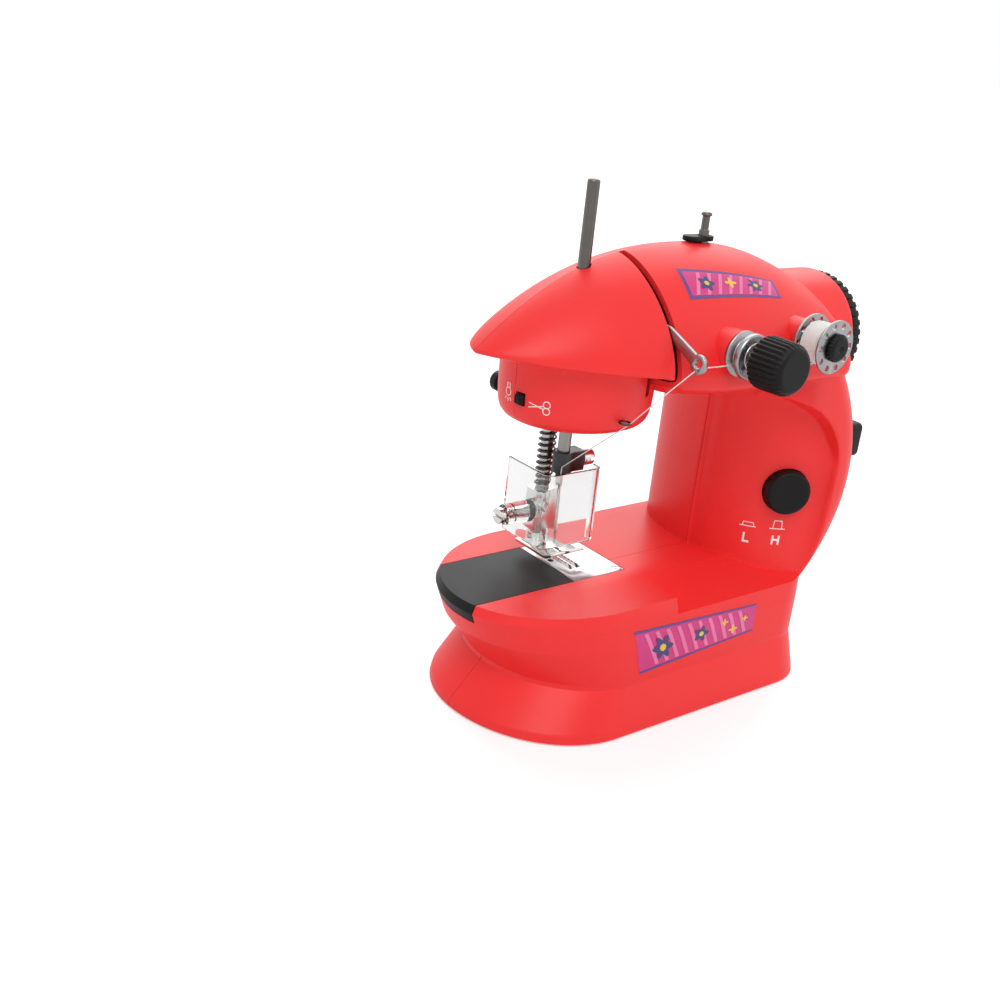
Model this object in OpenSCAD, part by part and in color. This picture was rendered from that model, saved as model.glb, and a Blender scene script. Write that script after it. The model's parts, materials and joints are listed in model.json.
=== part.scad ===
/* [Housing] */
// Wall of the moulded housing
wall = 2.2; // [1.8:0.1:2.6]
// Left end of the skirt, from the middle of the base
skirt_left = 81.5; // [80:0.1:84]
// Right end of the base
base_right = 77; // [76:0.5:82]
// Half width of the skirt on the table
skirt_half = 49.5; // [48:0.5:56]
// Height of the crease between the skirt and the bed
waist_z = 18; // [17:0.5:21]
// Height of the sewing bed
bed_z = 48.4; // [47.6:0.1:49.4]
// Front edge of the bed, from the parting plane
bed_front = 40.2; // [39:0.1:42]
// Back edge of the bed, from the parting plane
bed_back = 44; // [42:0.1:47]
// Gap under the skirt, taken up by the rubber feet
foot_gap = 0.8; // [0.6:0.1:1.5]

/* [Arm and head] */
// Tip of the visor
tip_x = -83.5; // [-86:0.1:-82]
// Place of the crown along the machine
crown_x = 10; // [4:0.5:16]
// Height of the crown
crown_z = 177.5; // [176.5:0.5:185]
// Height of the visor's tip
tip_z = 143; // [142:0.5:145]
// Height of the widest line of the arm
rim_z = 136; // [135:0.5:137]
// Half width of the arm
arm_half = 43; // [42.5:0.1:46]
// Depth of the arm below its widest line
arm_belly = 9; // [8:0.5:10]
// Middle of the needle head along the machine
head_x = -34.5; // [-35.5:0.1:-34]
// Middle of the needle head across the machine
head_y = 1.5; // [1:0.1:2.5]
// Half length of the needle head
head_a = 30.5; // [30:0.1:32]
// Half width of the needle head
head_b = 28; // [27.5:0.1:29]
// Underside of the needle head
head_z = 113.5; // [112.5:0.1:114]

/* [Column] */
// Left face of the column
nose_x = 37.5; // [36.5:0.1:38]
// Right side of the column at its widest
column_right = 90; // [89:0.5:95]
// Height of the column's widest place
column_mid_z = 86; // [80:1:92]
// Front of the column
column_front = 43.5; // [43:0.1:46]
// Back of the column
column_back = 42; // [41:0.1:45]
// Right edge of the sunk front panel
panel_right = 72.6; // [71:0.1:74]
// Height where the panel's arch begins
arch_z = 91; // [86:0.5:96]
// Radius of the drum that carries the hand wheel
drum_r = 26.5; // [25:0.5:28]
// End of that drum
drum_end = 89.5; // [88:0.5:92]

/* [Drive] */
// Height of the main shaft
shaft_z = 138; // [137.5:0.1:138.5]
// Radius of both shafts
shaft_r = 3; // [2.5:0.1:3.2]
// Radial clearance of a running fit
run_fit = 0.05; // [0.03:0.01:0.1]
// Clear gap between neighbouring pieces
gap = 0.4; // [0.3:0.05:0.6]
// Radius of the hand wheel
wheel_r = 27; // [25:0.5:29]
// Width of the hand wheel
wheel_w = 6.5; // [5:0.5:9]
// Number of grips round the hand wheel
wheel_grips = 40; // [24:1:60]
// Throw of the crank
crank_throw = 11; // [9:0.1:11.5]
// Radius of the upper timing pulley, twice the lower one
timing_r = 12; // [10:0.5:12]
// Radius of the drive pulley
drive_r = 12; // [10:0.5:12]
// Radius of the motor pulley
motor_pulley_r = 4; // [3.5:0.1:5]
// Thickness of the belts
belt_t = 1.2; // [1:0.1:1.5]
// Radius of the motor
motor_r = 12; // [10:0.5:12.5]
// Height of the lower shaft
low_z = 29; // [28.5:0.1:29.5]
// Radius of the shuttle hook
hook_r = 13; // [12.6:0.1:13]
// Flange radius of a bobbin
bobbin_r = 10.15; // [9.6:0.05:10.3]
// Length of a bobbin
bobbin_l = 11.6; // [11:0.1:11.8]

/* [Needle and presser] */
// Needle along the machine
needle_x = -29.5; // [-30:0.1:-29]
// Needle across the machine
needle_y = 9.7; // [9.4:0.1:9.9]
// Presser bar behind the needle
presser_back = 10.3; // [10:0.1:10.6]
// Radius of the needle bar and the presser bar
bar_r = 2.5; // [2.2:0.1:2.6]
// Needle's tip above the bed
tip_up = 8.6; // [7.5:0.1:10]
// Height of the needle clamp's underside
clamp_z = 87; // [86:0.5:89]
// Sole of the raised presser foot above the bed
foot_up = 4.9; // [4.7:0.1:5.5]
// Travel of the presser bar up and down
lift = 2.2; // [1.6:0.1:2.4]
// Swing of the lifter lever each way
lifter_swing = 40; // [38:1:50]
// Radius of the presser spring at its wire's middle
spring_r = 3.25; // [3.1:0.05:3.4]
// Wire of the presser spring
spring_wire = 0.85; // [0.7:0.05:0.9]
// Turns of the presser spring
spring_turns = 17; // [12:1:20]
// Take-up slot along the machine
slot_x = -22.3; // [-22.6:0.1:-22]
// Width of the take-up slot
slot_w = 2.8; // [2.6:0.1:4.4]
// Thickness of the take-up lever
lever_t = 1.5; // [1:0.1:1.8]

/* [Knobs and pins] */
// Tension stud along the machine
tension_x = 2.7; // [1:0.1:5]
// Height of the tension stud
tension_z = 146; // [145:0.1:147]
// Radius of the tension discs
disc_r = 8.5; // [7.5:0.1:9]
// Radius of the tension knob
knob_r = 9.7; // [9:0.1:10.5]
// Bobbin winder along the machine
winder_x = 40; // [38:0.1:43]
// Height of the bobbin winder
winder_z = 148.3; // [147:0.1:149.5]
// Radius of the speed button
button_r = 9.4; // [8.5:0.1:10]
// Height of the speed button
button_z = 80.4; // [78:0.1:83]
// Radius of the spool pin
pin_r = 2.3; // [2:0.1:2.5]
// Spool pin along the machine
pin_x = -39.1; // [-40:0.1:-38.5]
// Spool pin's height above the crown
pin_up = 30.2; // [27:0.2:36]
// Short pin along the machine
short_x = 19.4; // [18:0.1:21]
// Short pin's height above the crown
short_up = 11.3; // [9.5:0.1:14]

/* [Hidden] */
$fn = 48;
red = [0.88, 0.16, 0.17];
black = [0.07, 0.07, 0.07];
steel = [0.62, 0.62, 0.64];
dark_steel = [0.3, 0.29, 0.28];
far = 400;
eps = 0.01;

// Left end of the skirt a little above the table
hem_left = -skirt_left + 0.6;

// Left edge of the sunk floor in the bed
floor_x = -5.5;

// Distance over which the crown would fall to the arm's widest line
crown_run = 100.6;
// Needle and presser places
presser_y = needle_y + presser_back;
plate_t = 1.2;
plate_left = -33;
plate_right = -7;
plate_front = -9.7;
plate_back = 25;
feed_rows = [3.4, 6.8];
bush_r = 3.6;
bush_l = 4;
shelf_low_z = 118.8;
shelf_high_z = 154;
shelf_mid_z = 140;
clamp_h = 8.5;
clamp_reach = 8.5;
bar_top_z = 153.5;
guide_r = 1.2;
guide_low_z = 126;
yoke_z = shaft_z + crank_throw;
yoke_h = 3.4;
holder_z = bed_z + foot_up + 7.2;
holder_h = 15;
foot_z = bed_z + foot_up;
foot_pin_y = presser_y - 1;
foot_pin_z = foot_z + 4.2;
lifter_x = needle_x - 11.5;
lifter_z = 124.5;
lifter_cam_r = 4.5;
lifter_r = 2.2;
lifter_throw = lift / sin(lifter_swing);
collar_z = lifter_z + lifter_cam_r + 0.3;
collar_t = 4;

// Drive places
crank_x = -14.5;
crank_t = 3;
crank_pin_r = 2;
timing_x = 46;
timing_w = 7;
drive_x = 56;
drive_w = 4.5;
motor_x = 66;
motor_y = -8;
motor_z = 95;
motor_l = 17;
low_y = needle_y;
hook_x = needle_x - 2;
hook_l = 14.5;
lever_pivot_z = 155;
lever_reach = 46.4;
lever_drop = 10.1;

// Front pieces
disc_y = -42.1;
tension_boss = 11;
winder_y = -41.5;
winder_boss = 14;
button_x = 57.5;
button_y = -31.7;
button_turn = -29.4;
switch_z = 101;
switch_x = 84;
switch_y = -34.4;
switch_half = 7.2;
guide_x = -35.5;
guide_z = 119.5;
guide_wire = 0.4;
lamp_x = -46;
lamp_y = 0.2;
lamp_r = 3.4;

// A closed skin through rings of points, each clockwise seen from the last ring's side
module loft(rings) {
    n = len(rings[0]);
    m = len(rings);
    polyhedron(
        points = [for (r = rings) each r],
        faces = concat(
            [[for (j = [n - 1:-1:0]) j]],
            [[for (j = [0:n - 1]) (m - 1) * n + j]],
            [for (i = [0:m - 2], j = [0:n - 1]) [i * n + j, i * n + (j + 1) % n, (i + 1) * n + j]],
            [for (i = [0:m - 2], j = [0:n - 1])
                [i * n + (j + 1) % n, (i + 1) * n + (j + 1) % n, (i + 1) * n + j]]));
}

// A rod between two heights
module rod(x, y, z0, z1, r) {
    translate([x, y, z0]) cylinder(r = r, h = z1 - z0);
}

// A rod along the machine
module rod_x(x0, x1, y, z, r) {
    translate([x0, y, z]) rotate([0, 90, 0]) cylinder(r = r, h = x1 - x0);
}

// A rod across the machine, towards the back
module rod_y(x, y0, y1, z, r) {
    translate([x, y0, z]) rotate([-90, 0, 0]) cylinder(r = r, h = y1 - y0);
}

// A block between two corners
module block(lo, hi) {
    translate(lo) cube(hi - lo);
}

// Outline of the base at one height: an oval left end and two round right corners
function base_ring(z, left, right, front, back, oval, corner, t) = concat(
    [for (a = [270:-10:90])
        [left + oval + (oval - t) * cos(a), ((sin(a) < 0 ? front : back) - t) * sin(a), z]],
    [for (a = [90:-15:0])
        [right - corner + (corner - t) * cos(a), back - corner + (corner - t) * sin(a), z]],
    [for (a = [0:-15:-90])
        [right - corner + (corner - t) * cos(a), corner - front + (corner - t) * sin(a), z]]);

// Base with its skirt, waist and bed, drawn in by t
module base_skin(t) {
    waist_left = -skirt_left + 13.5;
    bulge_left = -skirt_left + 2.5;
    lip_left = -skirt_left - 2;
    top_left = -skirt_left - 0.8;
    lip = bed_z - 3.4;
    foot = t > 0 ? -1 : foot_gap;
    loft([
        base_ring(foot, -skirt_left, base_right, skirt_half, bed_back, 44, 24, t),
        base_ring(foot_gap + 3, hem_left, base_right, skirt_half - 0.9, bed_back - 0.4, 44, 24, t),
        base_ring(waist_z, waist_left, base_right - 2, bed_front + 3.3, bed_back - 2, 40, 20, t),
        base_ring(waist_z + 2, waist_left, base_right - 2, bed_front + 3.4, bed_back - 1.9, 40, 20, t),
        base_ring(waist_z + 16, bulge_left, base_right - 0.5, bed_front + 2.4, bed_back - 0.5, 48, 20, t),
        base_ring(min(lip, bed_z - t - 0.5), lip_left, base_right + 1, bed_front, bed_back, 50.5, 18, t),
        base_ring(bed_z - t, top_left, base_right, bed_front - 1.4, bed_back - 1.4, 50.5, 18, t)]);
}

// Sunk floor at the front right of the bed
module floor_cut(t) {
    translate([floor_x - t, -17, bed_z - t]) rotate([14.5, 0, 0]) translate([0, -50, 0]) cube([90, 50, 20]);
}

// Side view and plan of the arm
function ridge(x) = x < crown_x
    ? crown_z - (crown_z - tip_z) * pow((crown_x - x) / (crown_x - tip_x), 2.4)
    : crown_z - (crown_z - rim_z) * pow((x - crown_x) / crown_run, 2);
function half_width(x) = arm_half * pow(1 - pow(1 - min(1, (x - tip_x) / 110), 2), 0.58);
function rim(x) = x < 0 ? rim_z + (tip_z - rim_z) * pow(x / tip_x, 1.2) : rim_z;
function belly(x) = x < -24 ? 1.5 : x > -19 ? arm_belly : 1.5 + (arm_belly - 1.5) * (x + 24) / 5;
function arm_ring(x, t, k) = [for (i = [0:31])
    let (a = -i * 11.25, c = cos(a), s = sin(a))
    [x, k * (half_width(x) - t) * sign(c) * pow(abs(c), s > 0 ? 1.25 : 0.6),
        rim(x) + (s > 0 ? (k * (ridge(x) - rim(x)) - t) * pow(s, 1.25)
            : -max(0.1, belly(x) - t) * pow(-s, 0.6))]];

// Arm with its visor, drawn in by t
module arm_skin(t) {
    stations = [tip_x + 1 + t, tip_x + 4.3, tip_x + 10, -66, -58, -49, -39, -29, -24, -19, -8, 4, 16, 28, 40, 52,
        66];
    loft(concat([for (x = stations) arm_ring(x, t, 1)], [arm_ring(72, t, 0.9), arm_ring(75, t, 0.7)]));
}

// Needle head under the visor, drawn in by t
module head_skin(t) {
    levels = [[head_z + t, 6, 5], [head_z + 1.5 + t, 3, 2.5], [head_z + 5.5, 1, 1], [tip_z + 1, 0, 0]];
    loft([for (l = levels) [for (a = [348:-12:0])
        [head_x + (head_a - l[1] - t) * cos(a), head_y + (head_b - l[2] - t) * sin(a), l[0]]]]);
}

// Quarter of an oval, clockwise from one angle
function corner_arc(x, y, rx, ry, start, z) = [for (a = [start:-18:start - 90])
    [x + rx * cos(a), y + ry * sin(a), z]];

// Column, bulging to the right, drawn in by t
module column_skin(t) {
    loft([for (z = [40, 51, 62, 73, 84, 95, 106, 117, 128, 134])
        let (right = column_right - pow(z - column_mid_z, 2) / 155)
        let (front = column_front - pow(z - column_mid_z - 6, 2) / 600)
        concat(
            corner_arc(nose_x + 16, column_back - 20, 16 - t, 20 - t, 180, z),
            corner_arc(right - 18, column_back - 18, 18 - t, 18 - t, 90, z),
            corner_arc(right - 14, 14 - front, 14 - t, 14 - t, 0, z),
            corner_arc(nose_x + 16, 16 - front, 16 - t, 16 - t, -90, z))]);
}

// Sunk front panel of the column under its arch, grown by t
module panel_cut(t) {
    plan = [[floor_x, -60], [30, -60], [30, 0], [nose_x + 1.4 + t, 0], [nose_x + 1.7 + t, -7.2 + t * 0.3],
        [nose_x + 5.2 + t, -15.5 + t * 0.6], [48.3 + t * 0.7, -24.7 + t], [58.3 + t * 0.5, -32.5 + t],
        [panel_right - 0.6 + t * 0.3, -37.8 + t], [panel_right + 1.4 + t, -60]];
    arch_r = 42;
    arch_h = rim_z - arm_belly - 3 - arch_z;
    side = concat([[floor_x, 30], [panel_right + t, 30]],
        [for (a = [0:10:90])
            [panel_right - arch_r + (arch_r + t) * cos(a), arch_z + (arch_h + t) * sin(a)]],
        [[floor_x, arch_z + arch_h + t]]);
    intersection() {
        translate([0, 0, 35]) linear_extrude(100) polygon(plan);
        rotate([90, 0, 0]) linear_extrude(2 * far, center = true) polygon(side);
    }
}

// The whole outer form, drawn in by t
module body_skin(t) {
    difference() {
        base_skin(t);
        floor_cut(t);
    }
    arm_skin(t);
    head_skin(t);
    difference() {
        column_skin(t);
        panel_cut(t);
    }
    rod_x(50, drum_end - t, 0, shaft_z, drum_r - t);
}

// Fastening points of the two halves, x and z
screw_places = [[-57, 30], [14, 38], [78, 60], [76, 118], [28, 154], [-48, 145]];
screw_seat = 8;
screw_reach = 10;
screw_r = 1.4;
screw_head_r = 2.9;
boss_r = 4;

// One hollow half of the housing with its screw bosses: side -1 is the front, 1 the rear
module half_shell(side) {
    resize([0, 0, 0]) intersection() {
        union() {
            difference() {
                body_skin(0);
                body_skin(wall);
            }
            intersection() {
                body_skin(wall / 2);
                for (s = screw_places) rod_y(s[0], -far / 2, far / 2, s[1], boss_r, $fn = 24);
            }
        }
        translate([-far / 2, side > 0 ? 0.05 : -far - 0.05, -far / 2]) cube(far);
    }
}

// Cuts that both halves share along the parting plane
module shared_cuts() {
    ledge = 4;
    rod(pin_x, 0, rim_z + 14, crown_z + 9, pin_r + gap);
    rod(short_x, 0, rim_z + 14, crown_z + 9, 2 + gap);
    rod(lamp_x, lamp_y, head_z - 9, head_z + 9, lamp_r + eps);
    rod_x(drum_end - wall - 2, drum_end + 2, 0, shaft_z, 8);
    block([plate_left - gap, plate_front - gap, bed_z - plate_t],
        [plate_right + gap, plate_back + gap, bed_z + 9]);
    block([plate_left, plate_front + ledge, bed_z - wall - 9],
        [plate_right - ledge, plate_back - ledge, bed_z]);
    block([-far / 2, plate_front - gap, bed_z - 7 - gap], [plate_left + 1, plate_back + gap, bed_z + 9]);
}

module front_shell() color(red) difference() {
    rail_lo = [plate_left - 30, plate_front - 4, bed_z - wall - 2.2];
    rail_hi = [plate_left - 1, plate_front + 1, bed_z - wall - 0.1];
    union() {
        difference() {
            half_shell(-1);
            shared_cuts();
        }
        rod_y(tension_x, disc_y, disc_y + tension_boss, tension_z, disc_r - 0.5);
        rod_y(winder_x, winder_y + gap, winder_y + winder_boss, winder_z, 7);
        block(rail_lo, rail_hi);
        block([rail_lo[0], rail_lo[1], rail_hi[2] - 1], [rail_hi[0], plate_front - 1, bed_z - 1]);
    }
    block([slot_x - slot_w / 2, -far / 2, shelf_low_z + 8], [slot_x + slot_w / 2, 0.1, far]);
    rod_y(tension_x, disc_y - 9, disc_y + 19, tension_z, 2 + run_fit);
    rod_y(winder_x, winder_y - 9, winder_y + 19, winder_z, 2.5 + run_fit);
    rod_y(guide_x, head_y - head_b - 2, head_y - head_b + 8, guide_z, guide_wire + eps);
    translate([button_x, button_y, button_z]) rotate([90, 0, button_turn])
        translate([0, 0, -16]) cylinder(r = button_r + gap, h = 32);
    block([switch_x - 6, switch_y - 5 - gap, switch_z - switch_half - 0.8],
        [far / 2, switch_y + 5 + gap, switch_z + switch_half + 0.8]);
    block([-far / 2, -5.2, 121.6], [head_x - head_a + 8, -0.8, 126.4]);
    for (s = screw_places) rod_y(s[0], -screw_reach - 1, 1, s[1], screw_r + eps);
}

module rear_shell() color(red) difference() {
    rail_lo = [plate_left - 30, plate_back - 1, bed_z - wall - 2.2];
    rail_hi = [plate_left - 1, plate_back + 4, bed_z - wall - 0.1];
    union() {
        difference() {
            half_shell(1);
            shared_cuts();
        }
        block(rail_lo, rail_hi);
        block([rail_lo[0], plate_back + 1, rail_hi[2] - 1], [rail_hi[0], rail_hi[1], bed_z - 1]);
    }
    block([needle_x - 5.5, needle_y - 5, head_z - 5], [needle_x + 5.5, presser_y + 5, head_z + wall + 2]);
    rod_y(lifter_x, head_y + head_b - 8, far / 2, lifter_z, lifter_r + run_fit);
    for (s = screw_places) {
        rod_y(s[0], -1, screw_seat + 1, s[1], screw_r + 0.3);
        rod_y(s[0], screw_seat, far / 2, s[1], screw_head_r + 0.3);
    }
}

module shell_screws() color(steel) for (s = screw_places) difference() {
    top = screw_seat + 2.2;
    slit = 0.4;
    union() {
        rod_y(s[0], -screw_reach, screw_seat + 1, s[1], screw_r);
        rod_y(s[0], screw_seat + eps, top, s[1], screw_head_r);
    }
    block([s[0] - 1.8, top - 1, s[1] - slit], [s[0] + 1.8, top + 1, s[1] + slit]);
    block([s[0] - slit, top - 1, s[1] - 1.8], [s[0] + slit, top + 1, s[1] + 1.8]);
}

// Base pieces
door_lo = [-2, -36];
door_hi = [56, -4];
door_top = foot_gap + 2;
door_hinge_x = door_lo[0] + 2.6;
door_pin_r = 0.7;
foot_places = [[-50, -24], [-50, 24], [66, -28], [66, 28]];
post_places = [[-40, 8], [-40, 24], [56, 8], [56, 26]];

module bottom_cover() color([0.2, 0.2, 0.21]) {
    outline = base_ring(0, hem_left, base_right, skirt_half - 0.9, bed_back - 0.4, 44, 24, wall + gap);
    difference() {
        union() {
            translate([0, 0, foot_gap]) linear_extrude(2) polygon([for (p = outline) [p[0], p[1]]]);
            for (p = post_places) rod(p[0], p[1], foot_gap + 1, 6, 4);
            block([door_lo[0] - 2, door_lo[1] - 2, foot_gap + 1], [door_hi[0] + 2, door_hi[1] + 2, 20]);
        }
        block([door_lo[0], door_lo[1], -1], [door_hi[0], door_hi[1], 18]);
        for (p = foot_places) rod(p[0], p[1], -1, foot_gap + 0.8, 5 + run_fit);
    }
    rod_y(door_hinge_x, door_lo[1] - 1, door_lo[1] + 4, door_top, door_pin_r);
    rod_y(door_hinge_x, door_hi[1] - 4, door_hi[1] + 1, door_top, door_pin_r);
}

module battery_door() color([0.24, 0.24, 0.25]) difference() {
    union() {
        block([door_hinge_x, door_lo[1] + gap, foot_gap], [door_hi[0] - gap, door_hi[1] - gap, door_top]);
        rod_y(door_hinge_x, door_lo[1] + gap, door_hi[1] - gap, door_top, 1.4);
    }
    rod_y(door_hinge_x, door_lo[1], door_hi[1], door_top, door_pin_r + run_fit);
    for (i = [0:6]) block([door_hi[0] - 9 + i, door_lo[1] + 10, -1],
        [door_hi[0] - 8.5 + i, door_hi[1] - 10, foot_gap + 0.5]);
}

module rubber_feet() color([0.12, 0.12, 0.12]) for (p = foot_places) {
    rod(p[0], p[1], 0, foot_gap + 0.8, 5);
}

module needle_plate() color([0.72, 0.72, 0.74]) difference() {
    block([plate_left, plate_front, bed_z - plate_t + eps], [plate_right, plate_back, bed_z]);
    rod(needle_x, needle_y, 0, far, 1.3);
    for (dx = feed_rows)
        block([needle_x + dx - 1.4, needle_y - 10, 0], [needle_x + dx + 1.4, needle_y + 11, far]);
    for (y = [plate_front + 2, plate_back - 2]) {
        rod(plate_right - 2, y, 0, far, 1.2);
        translate([plate_right - 2, y, bed_z - 0.9]) cylinder(r1 = 1.2, r2 = 2.2, h = 0.95);
    }
}

module plate_screws() color(steel) for (y = [plate_front + 2, plate_back - 2]) difference() {
    union() {
        rod(plate_right - 2, y, bed_z - plate_t + 0.1, bed_z - 0.5, 1.1);
        translate([plate_right - 2, y, bed_z - 0.9]) cylinder(r1 = 1.1, r2 = 1.9, h = 0.8);
    }
    block([plate_right - 4, y - 0.25, bed_z - 0.5], [plate_right, y + 0.25, bed_z + 1]);
}

module bobbin_cover() color(black) resize([0, 0, 0]) intersection() {
    difference() {
        base_skin(0);
        difference() {
            base_skin(1.9);
            block([-far / 2, -far / 2, bed_z - 1.9 - eps], [far / 2, far / 2, far]);
        }
        block([-60, -far / 2, -far / 2], [far, far / 2, bed_z - 1.8]);
    }
    block([-far / 2, plate_front, bed_z - 7], [plate_left - gap, plate_back, far]);
}

// Cast frame that carries the bushes, the bars and the motor
module frame() color([0.55, 0.56, 0.58]) {
    front = 14.2;
    web_back = 17.5;
    shelf = bush_l;
    beam_lo = rim_z - 5;
    beam_hi = rim_z + 10;
    difference() {
        union() {
            block([-16, front, beam_lo], [70, 22, beam_hi]);
            for (x = [-8, 64]) block([x, -7, beam_lo], [x + 6, 22, beam_hi]);
            block([-20, front, shelf_low_z], [-15, web_back, shelf_high_z + shelf]);
            block([needle_x - 5, needle_y - 4.6, shelf_low_z],
                [needle_x + 5, presser_y, shelf_low_z + shelf]);
            rod(needle_x, presser_y, shelf_low_z, shelf_low_z + shelf, 5);
            block([needle_x, 8, shelf_low_z], [-16, web_back, shelf_low_z + shelf]);
            block([needle_x - 3, needle_y - 3, shelf_high_z], [-15, web_back, shelf_high_z + shelf]);
            block([-20.6, -4, shelf_high_z - 2], [-15, web_back, shelf_high_z + shelf]);
            block([needle_x, presser_y - 4.8, shelf_mid_z], [-15, presser_y + 2, shelf_mid_z + shelf]);
            rod(needle_x, presser_y, shelf_mid_z, shelf_mid_z + shelf, 4.8);
            block([62, front, 6], [70, 24, beam_hi]);
            block([motor_x - 3.5, motor_y - 6, motor_z - 13], [motor_x, 24, motor_z + 13]);
            block([-48, 2, 6], [70, 30, 9]);
            for (x = [-12, 30]) block([x, 2, 6], [x + 6, 18, low_z + 8]);
            block([-12, 2, low_z + 4], [-6, 24, bed_z - 5.4]);
        }
        for (x = [-9, 63]) rod_x(x, x + 8, 0, shaft_z, 5 + eps);
        for (x = [-13, 29]) rod_x(x, x + 8, low_y, low_z, 5 + eps);
        rod(needle_x, needle_y, shelf_low_z - 1, shelf_low_z + shelf + 1, bush_r + eps);
        for (z = [shelf_low_z, shelf_mid_z]) rod(needle_x, presser_y, z - 1, z + shelf + 1, bush_r + eps);
        rod_x(-22, -14, 0, lever_pivot_z, 1.5 + eps);
        rod_x(motor_x - 9, motor_x + 1, motor_y, motor_z, 3.4);
    }
    rod(needle_x, needle_y, guide_low_z, shelf_high_z + 1, guide_r);
}

module shaft_bushes() color([0.72, 0.55, 0.25]) {
    for (x = [-8, 64]) difference() {
        rod_x(x, x + 6, 0, shaft_z, 5);
        rod_x(x - 1, x + 7, 0, shaft_z, shaft_r + run_fit);
    }
    for (x = [-12, 30]) difference() {
        rod_x(x, x + 6, low_y, low_z, 5);
        rod_x(x - 1, x + 7, low_y, low_z, shaft_r + run_fit);
    }
}

// A guide bush on a vertical bar
module bar_bush(y, z) difference() {
    rod(needle_x, y, z, z + bush_l, bush_r);
    rod(needle_x, y, z - 1, z + bush_l + 1, bar_r + run_fit);
}

module bar_bushes() color([0.72, 0.55, 0.25]) {
    bar_bush(needle_y, shelf_low_z);
    bar_bush(presser_y, shelf_low_z);
    bar_bush(presser_y, shelf_mid_z);
}

module main_shaft() color(steel) rod_x(crank_x, drum_end + wheel_w, 0, shaft_z, shaft_r);

// A ring on the main shaft or the lower shaft
module on_shaft(x0, x1, y, z, r) difference() {
    rod_x(x0, x1, y, z, r);
    rod_x(x0 - 1, x1 + 1, y, z, shaft_r + eps);
}

module handwheel() color(black) difference() {
    out = drum_end + wheel_w;
    union() {
        on_shaft(drum_end + 0.5, out, 0, shaft_z, wheel_r);
        on_shaft(drum_end - 1.5, out, 0, shaft_z, 7.5);
    }
    for (i = [0:wheel_grips - 1]) translate([0, 0, shaft_z]) rotate([i * 360 / wheel_grips, 0, 0])
        rod_x(drum_end, out + 1, 0, wheel_r + 0.7, 1.2);
    difference() {
        rod_x(out - 2, out + 1, 0, shaft_z, wheel_r - 5);
        rod_x(drum_end, out + 2, 0, shaft_z, 9);
    }
}

module crank_disc() color(dark_steel) {
    on_shaft(crank_x + eps, crank_x + crank_t, 0, shaft_z, crank_throw + crank_pin_r + 1);
    rod_x(slot_x + lever_t / 2 + 0.7, crank_x + 1, 0, shaft_z + crank_throw, crank_pin_r);
}

// A flanged pulley
module pulley(x, w, y, z, r, bore) difference() {
    union() {
        rod_x(x, x + w, y, z, r);
        rod_x(x - 1.2, x - 0.2, y, z, r + belt_t + 0.6);
        rod_x(x + w + 0.2, x + w + 1.2, y, z, r + belt_t + 0.6);
        rod_x(x - 1, x + w + 1, y, z, r - 0.5);
    }
    rod_x(x - 2, x + w + 2, y, z, bore + eps);
}

module upper_pulley() color([0.85, 0.85, 0.82]) pulley(timing_x, timing_w, 0, shaft_z, timing_r, shaft_r);

module lower_pulley() color([0.85, 0.85, 0.82])
    pulley(timing_x, timing_w, low_y, low_z, timing_r / 2, shaft_r);

module drive_pulley() color([0.85, 0.85, 0.82]) pulley(drive_x, drive_w, 0, shaft_z, drive_r, shaft_r);

module motor_pulley() color([0.85, 0.85, 0.82]) {
    pulley(drive_x, drive_w, motor_y, motor_z, motor_pulley_r, 0.5);
    rod_x(drive_x, motor_x + 8, motor_y, motor_z, 1);
}

// Loop round two wheels, seen along the shafts
module belt_loop(a, ra, b, rb) hull() {
    translate(a) circle(ra);
    translate(b) circle(rb);
}

// A flat belt round two pulleys
module belt(x, w, a, ra, b, rb) {
    slack = 0.15;
    translate([x, 0, 0]) rotate([90, 0, 90]) linear_extrude(w) difference() {
        belt_loop(a, ra + slack + belt_t, b, rb + slack + belt_t);
        belt_loop(a, ra + slack, b, rb + slack);
    }
}

module timing_belt() color([0.1, 0.1, 0.1])
    belt(timing_x + 0.3, timing_w - 0.6, [0, shaft_z], timing_r, [low_y, low_z], timing_r / 2);

module drive_belt() color([0.1, 0.1, 0.1])
    belt(drive_x + 0.3, drive_w - 0.6, [0, shaft_z], drive_r, [motor_y, motor_z], motor_pulley_r);

module motor() color([0.7, 0.7, 0.72]) difference() {
    union() {
        rod_x(motor_x, motor_x + motor_l, motor_y, motor_z, motor_r);
        rod_x(motor_x - 2.5, motor_x + 1, motor_y, motor_z, 3.2);
    }
    rod_x(motor_x - 9, motor_x + 9, motor_y, motor_z, 1 + run_fit);
}

module lower_shaft() color(steel) rod_x(hook_x - 3, timing_x + timing_w + 1.5, low_y, low_z, shaft_r);

module shuttle_hook() color(steel) difference() {
    union() {
        rod_x(hook_x - hook_l, hook_x, low_y, low_z, hook_r);
        rod_x(hook_x - 3, hook_x + 6, low_y, low_z, 4.6);
    }
    rod_x(hook_x - hook_l - 1, hook_x - 3, low_y, low_z, hook_r - 1.3);
    rod_x(hook_x - 9, hook_x + 9, low_y, low_z, shaft_r + eps);
    block([hook_x - 8, low_y - hook_r - 1, low_z + 3], [hook_x - 5, low_y, low_z + hook_r + 1]);
}

module bobbin_case() color([0.5, 0.5, 0.52]) difference() {
    rod_x(hook_x - hook_l - 1, hook_x - 3 - 0.3, low_y, low_z, hook_r - 1.3 - 0.3);
    rod_x(hook_x - hook_l - 2, hook_x - 4, low_y, low_z, bobbin_r + 0.35);
}

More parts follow.
